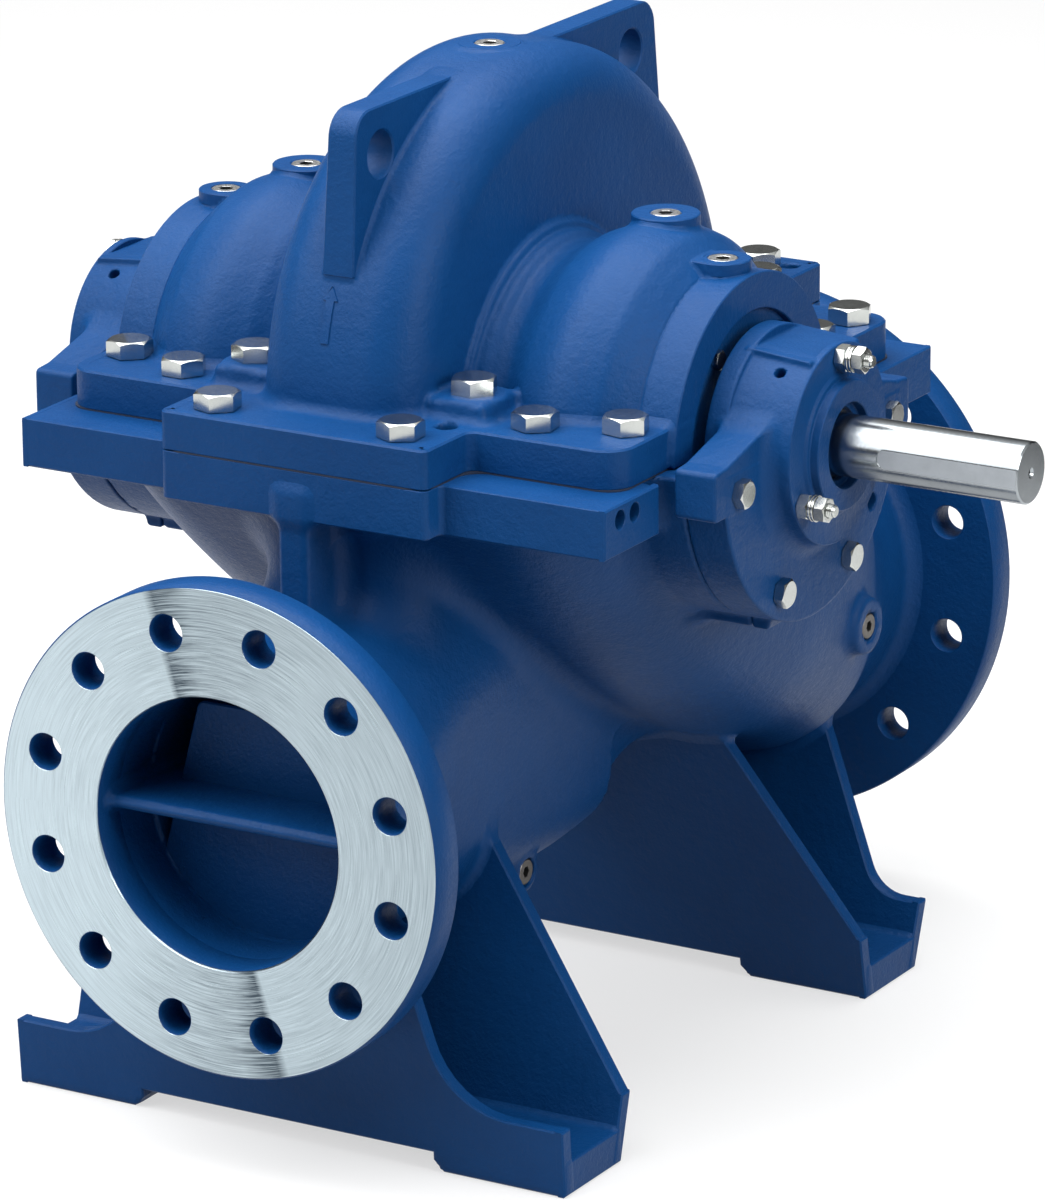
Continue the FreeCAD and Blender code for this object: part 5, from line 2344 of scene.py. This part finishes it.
@dataclass(frozen=True)
class FlangeRim(SubAssembly):
    """Crisp edges of one plate of the split flange, and the drilled ends of the lower one."""

    name: str
    low: float
    high: float
    wing: float
    front: float
    rear: float
    radii: tuple[float, ...]
    bevels: Pair
    inner_end: float
    left_out: int = 0
    strip: float = 9.0
    bevel: float = 1.2

    def build(self, shop: Workshop) -> list[Thing]:
        """Builds the strips round the front and the rear half, as one piece."""
        s = SIZES
        pieces = []
        for side, depth, reach in ((-1, self.front, s.centre_front), (1, self.rear, s.centre_rear)):
            half = [(self.wing, side * self.inner_end), (self.wing, side * depth),
                    (s.centre_half, side * depth), (s.centre_half, side * reach)]
            path = half + [(-x, y) for x, y in reversed(half)]
            pieces.append(rim_strip(path if side > 0 else path[::-1], self.radii + self.radii[::-1],
                                    self.strip, self.low, self.high, self.bevels, self.left_out))
            if self.left_out:
                near, far = sorted((side * s.wing_gap, side * depth))
                face = [(near, self.low), (far, self.low), (far, self.high), (near, self.high)]
                flat = self.end_face(outline_of(face, [0.0] * 4, -0.08), WING_HOLES
                                     if side < 0 else ())
                pieces += flat.across_shaft()
        return [shop.crisp(self.name + "_rim", pieces, 40.0)]

    def end_face(self, corners: Sequence[Pair], holes: Sequence[Pair]) -> Facets:
        """Plate that closes a wing of the lower flange, with blind holes, lying in (Y, Z).

        Args:
            corners: Its outline.
            holes: Middles of its blind holes.

        Returns:
            The plate.
        """
        end, bevel = SIZES.wing_lower, self.bevel
        levels = ((bevel, end - 6), (0.0, end - 4.8), (0.0, end - 1.2), (bevel, end))
        outer = [np.array([(u, v, h) for u, v in outline_of(corners, [0.0] * 4, inset)])
                 for inset, h in levels]
        pieces = [skinned(outer, False)]
        top, bottom = [outer[-1]], [outer[0]]
        for hole in holes:
            middle = np.array([*hole, 0.0])
            inner = [circle(r, h, 40) + middle
                     for r, h in ((7.6, end), (7.0, end - 0.6), (7.0, end - 6))]
            pieces.append(skinned(inner, False))
            top.append(inner[0])
            bottom.append(inner[-1])
        return together(pieces + [filled(top, True), filled(bottom, False)])


@dataclass(frozen=True)
class LiftingPlates(SubAssembly):
    """Crisp faces of the lifting plates."""

    bevel: float = 1.2
    hole: float = 17.0
    draft: float = 0.0011
    full_height: float = 620.0

    def build(self, shop: Workshop) -> list[Thing]:
        """Builds each plate as a prism across the shaft, thinner by the draft times the height."""
        half = SIZES.lug_half
        pieces = []
        for lug in LUGS:
            corners = lug.outline()
            if lug.end > lug.start:
                corners = corners[::-1]
            flat = prism(corners, [0.0] * len(corners), -half, half, self.bevel,
                         (*lug.hole, self.hole))
            u, v, h = flat.points.T
            thinned = h * (1 - self.draft * (v - self.full_height))
            crisp = Facets(np.column_stack([thinned, u, v]), flat.faces)
            pieces.append(shop.crisp(lug.name, [crisp], 40.0))
        return pieces


@dataclass(frozen=True)
class CastFoot(SubAssembly):
    """Crisp walls and channel-shaped ends of the foot under a nozzle."""

    name: str
    side: int
    shortened: float = 229.6
    end_start: float = 224.0
    bevel: float = 1.2
    outset: float = 0.06

    def build(self, shop: Workshop) -> list[Thing]:
        """Builds the two leaning walls and the end plates as one piece."""
        walls = foot_walls(self.side)
        pieces = [self.wall(wall) for wall in walls]
        plate_end = prism(outline_of(self.channel(*walls), [0.0] * 8, -self.outset), [0.0] * 8,
                          self.end_start, SIZES.foot_half, self.bevel)
        return [shop.crisp(self.name, pieces + plate_end.across_shaft(), 40.0)]

    def wall(self, wall: FootWall) -> Facets:
        """Wall as a prism along Y, each point moved by the lean times its height.

        Args:
            wall: The wall's outline, place and lean.

        Returns:
            The wall.
        """
        low, high = sorted((wall.near, wall.far))
        end = SIZES.foot_half
        corners = [(x * self.shortened / end if abs(x) == end else x, z) for x, z in wall.outline]
        flat = prism(corners, wall.radii, -high, -low, self.bevel)
        u, v, h = flat.points.T
        return Facets(np.column_stack([u, -h + wall.lean * v, v]), flat.faces)

    def channel(self, inner: FootWall, outer: FootWall) -> list[Pair]:
        """Outline of the foot's end in (Y, Z), open at the top between the walls.

        Args:
            inner: Wall towards the middle of the pump.
            outer: Wall under the nozzle.

        Returns:
            The corners, counter-clockwise.
        """
        edge, floor = SIZES.foot_edge, SIZES.foot_base
        corners = [(inner.near, 0.0), (outer.far, 0.0), (outer.far + outer.lean * edge, edge),
                   (outer.near + outer.lean * edge, edge),
                   (outer.near + outer.lean * floor, floor),
                   (inner.far + inner.lean * floor, floor),
                   (inner.far + inner.lean * edge, edge), (inner.near + inner.lean * edge, edge)]
        return corners if self.side > 0 else corners[::-1]


@dataclass(frozen=True)
class NozzleFace(SubAssembly):
    """Drilled disc of a nozzle flange and the thin turned face over it."""

    name: str
    side: int
    face: float
    rim: float
    bore: float
    pitch: float
    thickness: float
    skim: float = 2.2

    def build(self, shop: Workshop) -> list[Thing]:
        """Builds the disc, then the face a little proud of it."""
        hole = SIZES.bolt_hole
        disc = flange_disc(self.rim, self.bore - 0.2, self.pitch, hole, self.thickness - 0.3)
        skim = flange_disc(self.rim - 0.4, self.bore - 0.1, self.pitch, hole + 0.3, self.skim)
        return [shop.crisp(self.name + "_flange_disc", [self.at_face(disc, self.thickness)], 50.0),
                shop.crisp(self.name + "_turned_face", [self.at_face(skim, self.skim)], 50.0,
                           Finish.MACHINED)]

    def at_face(self, disc: Facets, thickness: float) -> Facets:
        """Disc turned towards its nozzle, with its front at the nozzle's face."""
        return disc.placed((0, self.side, 0),
                           (0, self.side * (self.face - thickness), SIZES.nozzle))


@dataclass(frozen=True)
class Rotor(SubAssembly):
    """Shaft with its half key."""

    count: int = 180
    journals: tuple[Pair, ...] = ((0.0, -297.0), (27.5, -297.0), (27.5, -246.0), (32.0, -246.0),
                                  (32.0, 246.0), (27.5, 246.0), (27.5, 299.0))
    chamfer: float = 1.2
    key_gap: float = 0.12
    key_half: float = 6.85

    def build(self, shop: Workshop) -> list[Thing]:
        """Builds the shaft and the top of the key along the shaft line."""
        where = (1, 0, 0), (0.0, 0.0, SIZES.line), 90
        return [shop.crisp("shaft_ground", [self.shaft().placed(*where)], 25.0, Finish.STEEL,
                           Body.ROTOR, ["shaft"]),
                shop.crisp("half_key", [self.key().placed(*where)], 32.0, Finish.KEY, Body.ROTOR)]

    def shaft(self) -> Facets:
        """Shaft about the local Z axis, flat where cos(angle) x radius passes the key's floor.

        Returns:
            The shaft, its centre hole at the tip.
        """
        s, count = SIZES, self.count
        rings = [circle(r, h, count) for r, h in (*self.journals, (s.shaft_radius, 299.0))]
        stations = list(np.arange(s.key_start, s.key_start + s.key_half + 0.3, 0.25))
        stations += [s.shaft_tip - self.chamfer, s.shaft_tip]
        angle = np.arange(count) * 2 * math.pi / count
        cosine = np.cos(angle - math.pi / 2)
        flat = s.key_floor / np.maximum(cosine, 0.5)
        for place in stations:
            radius = np.full(count, s.shaft_radius
                             - (self.chamfer if place == s.shaft_tip else 0.0))
            ahead = s.key_start + s.key_half - place
            if ahead < s.key_half:
                half = math.sqrt(max(s.key_half ** 2 - max(ahead, 0.0) ** 2, 0.0)) + self.key_gap
                on_key = (cosine > 0.5) & (np.abs(flat * np.sin(angle - math.pi / 2)) <= half)
                radius = np.where(on_key, np.minimum(radius, flat), radius)
            rings.append(np.stack([radius * np.cos(angle), radius * np.sin(angle),
                                   np.full(count, place)], axis=1))
        tip = s.shaft_tip
        rings += [circle(r, h, count) for r, h in ((4.0, tip), (2.2, tip - 1.8), (2.2, tip - 6.0),
                                                   (0.0, tip - 7.0))]
        return skinned(rings, False)

    def key(self) -> Facets:
        """Top of the half key: a thin strip with one round end, along local Z, facing local Y.

        Returns:
            The strip.
        """
        s, half = SIZES, self.key_half
        round_end = np.linspace(math.pi, 0, 25)
        across = list(half * np.cos(round_end))
        along = list(s.key_start + s.key_half - half * np.sin(round_end))
        tip = s.shaft_tip - 1.0
        outline = list(zip(across, along)) + [(half, tip), (-half, tip)]
        rings = [np.array([[u, height, v] for u, v in outline])
                 for height in (s.key_floor - 0.5, s.key_floor + self.key_gap)]
        return skinned([*rings, np.array([[0.0, rings[1][0][1], 400.0]])], False)


@dataclass(frozen=True)
class RotationArrow(SubAssembly):
    """Raised arrow on the volute's front that shows the way the impeller turns."""

    rows: tuple[Pair, ...] = ((22.2, 3.6), (24.0, 3.6), (26.0, 3.6), (28.0, 3.6), (30.3, 3.6),
                              (30.4, 6.4), (31.4, 4.0), (33.0, 0.15))
    shift: float = -2.8
    sunk: float = 1.5
    lift: float = 1.0
    draft: float = 0.5

    def build(self, shop: Workshop) -> list[Thing]:
        """Builds the arrow from rows of (angle, half width) laid on the casting."""
        casting = UpperCasing().form()
        rings = [np.array([self.spot(casting, angle, across, lift) for across, lift in (
                     (-half, -self.sunk), (half, -self.sunk), (half - self.draft, self.lift),
                     (self.draft - half, self.lift))])
                 for angle, half in self.rows]
        ends = [np.array([rings[0].mean(axis=0)]), np.array([rings[-1].mean(axis=0)])]
        return [shop.crisp("rotation_arrow", [skinned(ends[:1] + rings + ends[1:], False)], 32.0)]

    def spot(self, casting: Form, angle: float, across: float, lift: float) -> Triple:
        """Place above the casting: the last solid point on a ray from the shaft line, and a lift.

        Args:
            casting: The form the arrow lies on.
            angle: Angle of the ray above the horizontal, in degrees.
            across: Place along the shaft, from the arrow's middle.
            lift: Height above the casting.

        Returns:
            The place.
        """
        s = SIZES
        turn = math.radians(angle)
        reaches = np.arange(s.spiral - 6, s.spiral + 40, 0.25)
        x = self.shift + across
        solid = casting.distance(np.full(reaches.shape, x), -reaches * math.cos(turn),
                                 s.line + reaches * math.sin(turn)) < 0
        reach = reaches[np.flatnonzero(solid)[-1]] + 0.2 + lift
        return (x, -reach * math.cos(turn), s.line + reach * math.sin(turn))


def sub_assemblies() -> list[SubAssembly]:
    """The pump's sub-assemblies, in the order in which they are built.

    Returns:
        The list.
    """
    s = SIZES
    return [
        UpperCasing(),
        LowerCasing(),
        BearingEnds(),
        FlangeBolts(),
        Plugs(),
        SuctionDomes(),
        SealHousingBands(),
        FlangeRim("upper_flange", s.line + 0.9, s.plate_top, s.wing_upper, s.front_upper,
                  s.rear_upper, (0.0, 22.0, 8.0, 6.0), (0.6, 1.4), 100.0),
        FlangeRim("lower_flange", s.plate_bottom, s.line, s.wing_lower - 1.2, s.front_lower,
                  s.rear_lower, (0.0, 0.0, 5.0, 6.0), (1.4, 0.6), 150.0, left_out=1),
        LiftingPlates(),
        CastFoot("front_foot", -1),
        CastFoot("rear_foot", 1),
        NozzleFace("discharge", -1, s.discharge_face, s.discharge_rim, s.discharge_bore,
                   DISCHARGE_PITCH, s.discharge_plate),
        NozzleFace("suction", 1, s.suction_face, s.suction_rim, s.suction_bore, SUCTION_PITCH,
                   s.suction_plate),
        Rotor(),
        RotationArrow(),
    ]


# Photograph's view, light and floor.


@dataclass(frozen=True)
class PhotoView:
    """Camera solved from the photograph, in millimetres and pixels of its 1045 by 1200 frame."""

    focal: float = 7174.37
    centre: Pair = (463.96, 606.25)
    azimuth: float = 31.0
    elevation: float = 17.58
    roll: float = -0.58
    offset: Triple = (-9.58, 312.16, 5376.87)
    frame_size: Pair = (1045.0, 1200.0)

    def build(self) -> Thing:
        """Makes the camera and puts it in the scene."""
        azimuth, elevation, roll = (math.radians(a)
                                    for a in (self.azimuth, self.elevation, self.roll))
        back = Vector((math.sin(azimuth) * math.cos(elevation),
                       -math.cos(azimuth) * math.cos(elevation),
                       math.sin(elevation)))
        right = Vector((math.cos(azimuth), math.sin(azimuth), 0))
        up = back.cross(right)
        across = right * math.cos(roll) + up * math.sin(roll)
        upward = up * math.cos(roll) - right * math.sin(roll)
        data = bpy.data.cameras.new("camera")
        width, height = self.frame_size
        data.sensor_width = 36.0
        data.sensor_fit = "AUTO"
        data.lens = self.focal / height * data.sensor_width
        data.shift_x = (width / 2 - self.centre[0]) / height
        data.shift_y = (self.centre[1] - height / 2) / height
        data.clip_end = 50.0
        camera = bpy.data.objects.new("camera", data)
        place = (across * self.offset[0] + upward * self.offset[1] + back * self.offset[2]) * MM
        turn = Matrix((across, upward, back)).transposed().to_4x4()
        camera.matrix_world = Matrix.Translation(place) @ turn
        bpy.context.scene.collection.objects.link(camera)
        bpy.context.scene.camera = camera
        return camera


@dataclass(frozen=True)
class SoftBox:
    """Rectangular studio light aimed at a point."""

    name: str
    place: Triple
    aim: Triple
    size: Pair
    power: float

    def build(self) -> None:
        """Adds the light."""
        data = bpy.data.lights.new(self.name, "AREA")
        data.shape = "RECTANGLE"
        data.size, data.size_y = self.size
        data.energy = self.power
        light = bpy.data.objects.new(self.name, data)
        light.location = self.place
        direction = Vector(self.aim) - Vector(self.place)
        light.rotation_euler = direction.to_track_quat("-Z", "Y").to_euler()
        bpy.context.scene.collection.objects.link(light)


@dataclass(frozen=True)
class Stage:
    """Pale floor, soft lights, a dark flag behind the pump and a white world."""

    floor_shade: Triple = (0.36, 0.36, 0.36)
    floor_glow: float = 0.62
    flag_shade: Triple = (0.01, 0.01, 0.012)
    flag_place: Triple = (1.55, 1.35, 0.75)
    flag_turn: Triple = (math.pi / 2, 0, -0.35)
    flag_scale: Triple = (2.3, 1.5, 1.0)
    sky: tuple[float, float, float, float] = (0.22, 0.85, 0.06, 0.80)
    aim: Triple = (0.0, 0.0, 0.4)

    def build(self) -> None:
        """Makes the floor, the flag, the world and the lights."""
        self.floor()
        self.flag()
        bpy.context.scene.view_settings.view_transform = "Standard"
        bpy.context.scene.world = self.world()
        for light in (SoftBox("key", (-1.9, -2.4, 2.9), self.aim, (3.2, 3.2), 104.0),
                      SoftBox("top", (-0.3, 0.0, 3.1), self.aim, (3.2, 3.2), 132.0),
                      SoftBox("side", (3.0, -0.6, 1.7), self.aim, (1.2, 1.6), 45.0)):
            light.build()

    def floor(self) -> None:
        """Floor that keeps the shadow and shows white to camera, glossy and transmission rays."""
        bpy.ops.mesh.primitive_plane_add(size=40.0, location=(0, 0, -0.0005))
        floor = bpy.context.object
        floor.name = "floor"
        shader = Shader("floor")
        shader.preset("Base Color", (*self.floor_shade, 1))
        shader.preset("Roughness", 0.95)
        shader.preset("Specular IOR Level", 0.1)
        shader.preset("Emission Color", (1, 1, 1, 1))
        path = shader.add("ShaderNodeLightPath")
        seen = shader.math("MAXIMUM", path.outputs["Is Camera Ray"], path.outputs["Is Glossy Ray"])
        seen = shader.math("MAXIMUM", seen, path.outputs["Is Transmission Ray"])
        shader.feed("Emission Strength", shader.math("MULTIPLY", seen, self.floor_glow))
        floor.data.materials.append(shader.material)

    def flag(self) -> None:
        """Dark cloth beside the pump, which darkens what the flanges' faces reflect."""
        shader = Shader("flag_cloth")
        shader.preset("Base Color", (*self.flag_shade, 1))
        shader.preset("Roughness", 0.9)
        bpy.ops.mesh.primitive_plane_add(size=1.0, location=self.flag_place,
                                         rotation=self.flag_turn)
        panel = bpy.context.object
        panel.name = "flag"
        panel.scale = self.flag_scale
        panel.data.materials.append(shader.material)

    def world(self) -> bpy.types.World:
        """Soft surroundings, a smooth ramp of the height: bright overhead, darker low down.

        Returns:
            The world.
        """
        world = bpy.data.worlds.new("studio")
        world.use_nodes = True
        tree = world.node_tree
        coordinates = tree.nodes.new("ShaderNodeTexCoord")
        split = tree.nodes.new("ShaderNodeSeparateXYZ")
        tree.links.new(coordinates.outputs["Generated"], split.inputs["Vector"])
        ramp = tree.nodes.new("ShaderNodeMapRange")
        ramp.interpolation_type = "SMOOTHSTEP"
        for socket, number in zip(("From Min", "From Max", "To Min", "To Max"), self.sky):
            ramp.inputs[socket].default_value = number
        tree.links.new(split.outputs["Z"], ramp.inputs["Value"])
        background = tree.nodes["Background"]
        tree.links.new(ramp.outputs["Result"], background.inputs["Strength"])
        background.inputs["Color"].default_value = (1, 1, 1, 1)
        return world


def main() -> None:
    """Builds the pump's looks, piece by piece."""
    shop = Workshop()
    shop.finish_nodes()
    for assembly in sub_assemblies():
        for thing in assembly.build(shop):
            log.info("%-32s %7d faces", thing.name, len(thing.data.polygons))
    PhotoView().build()
    Stage().build()


if __name__ == "__main__":
    main()
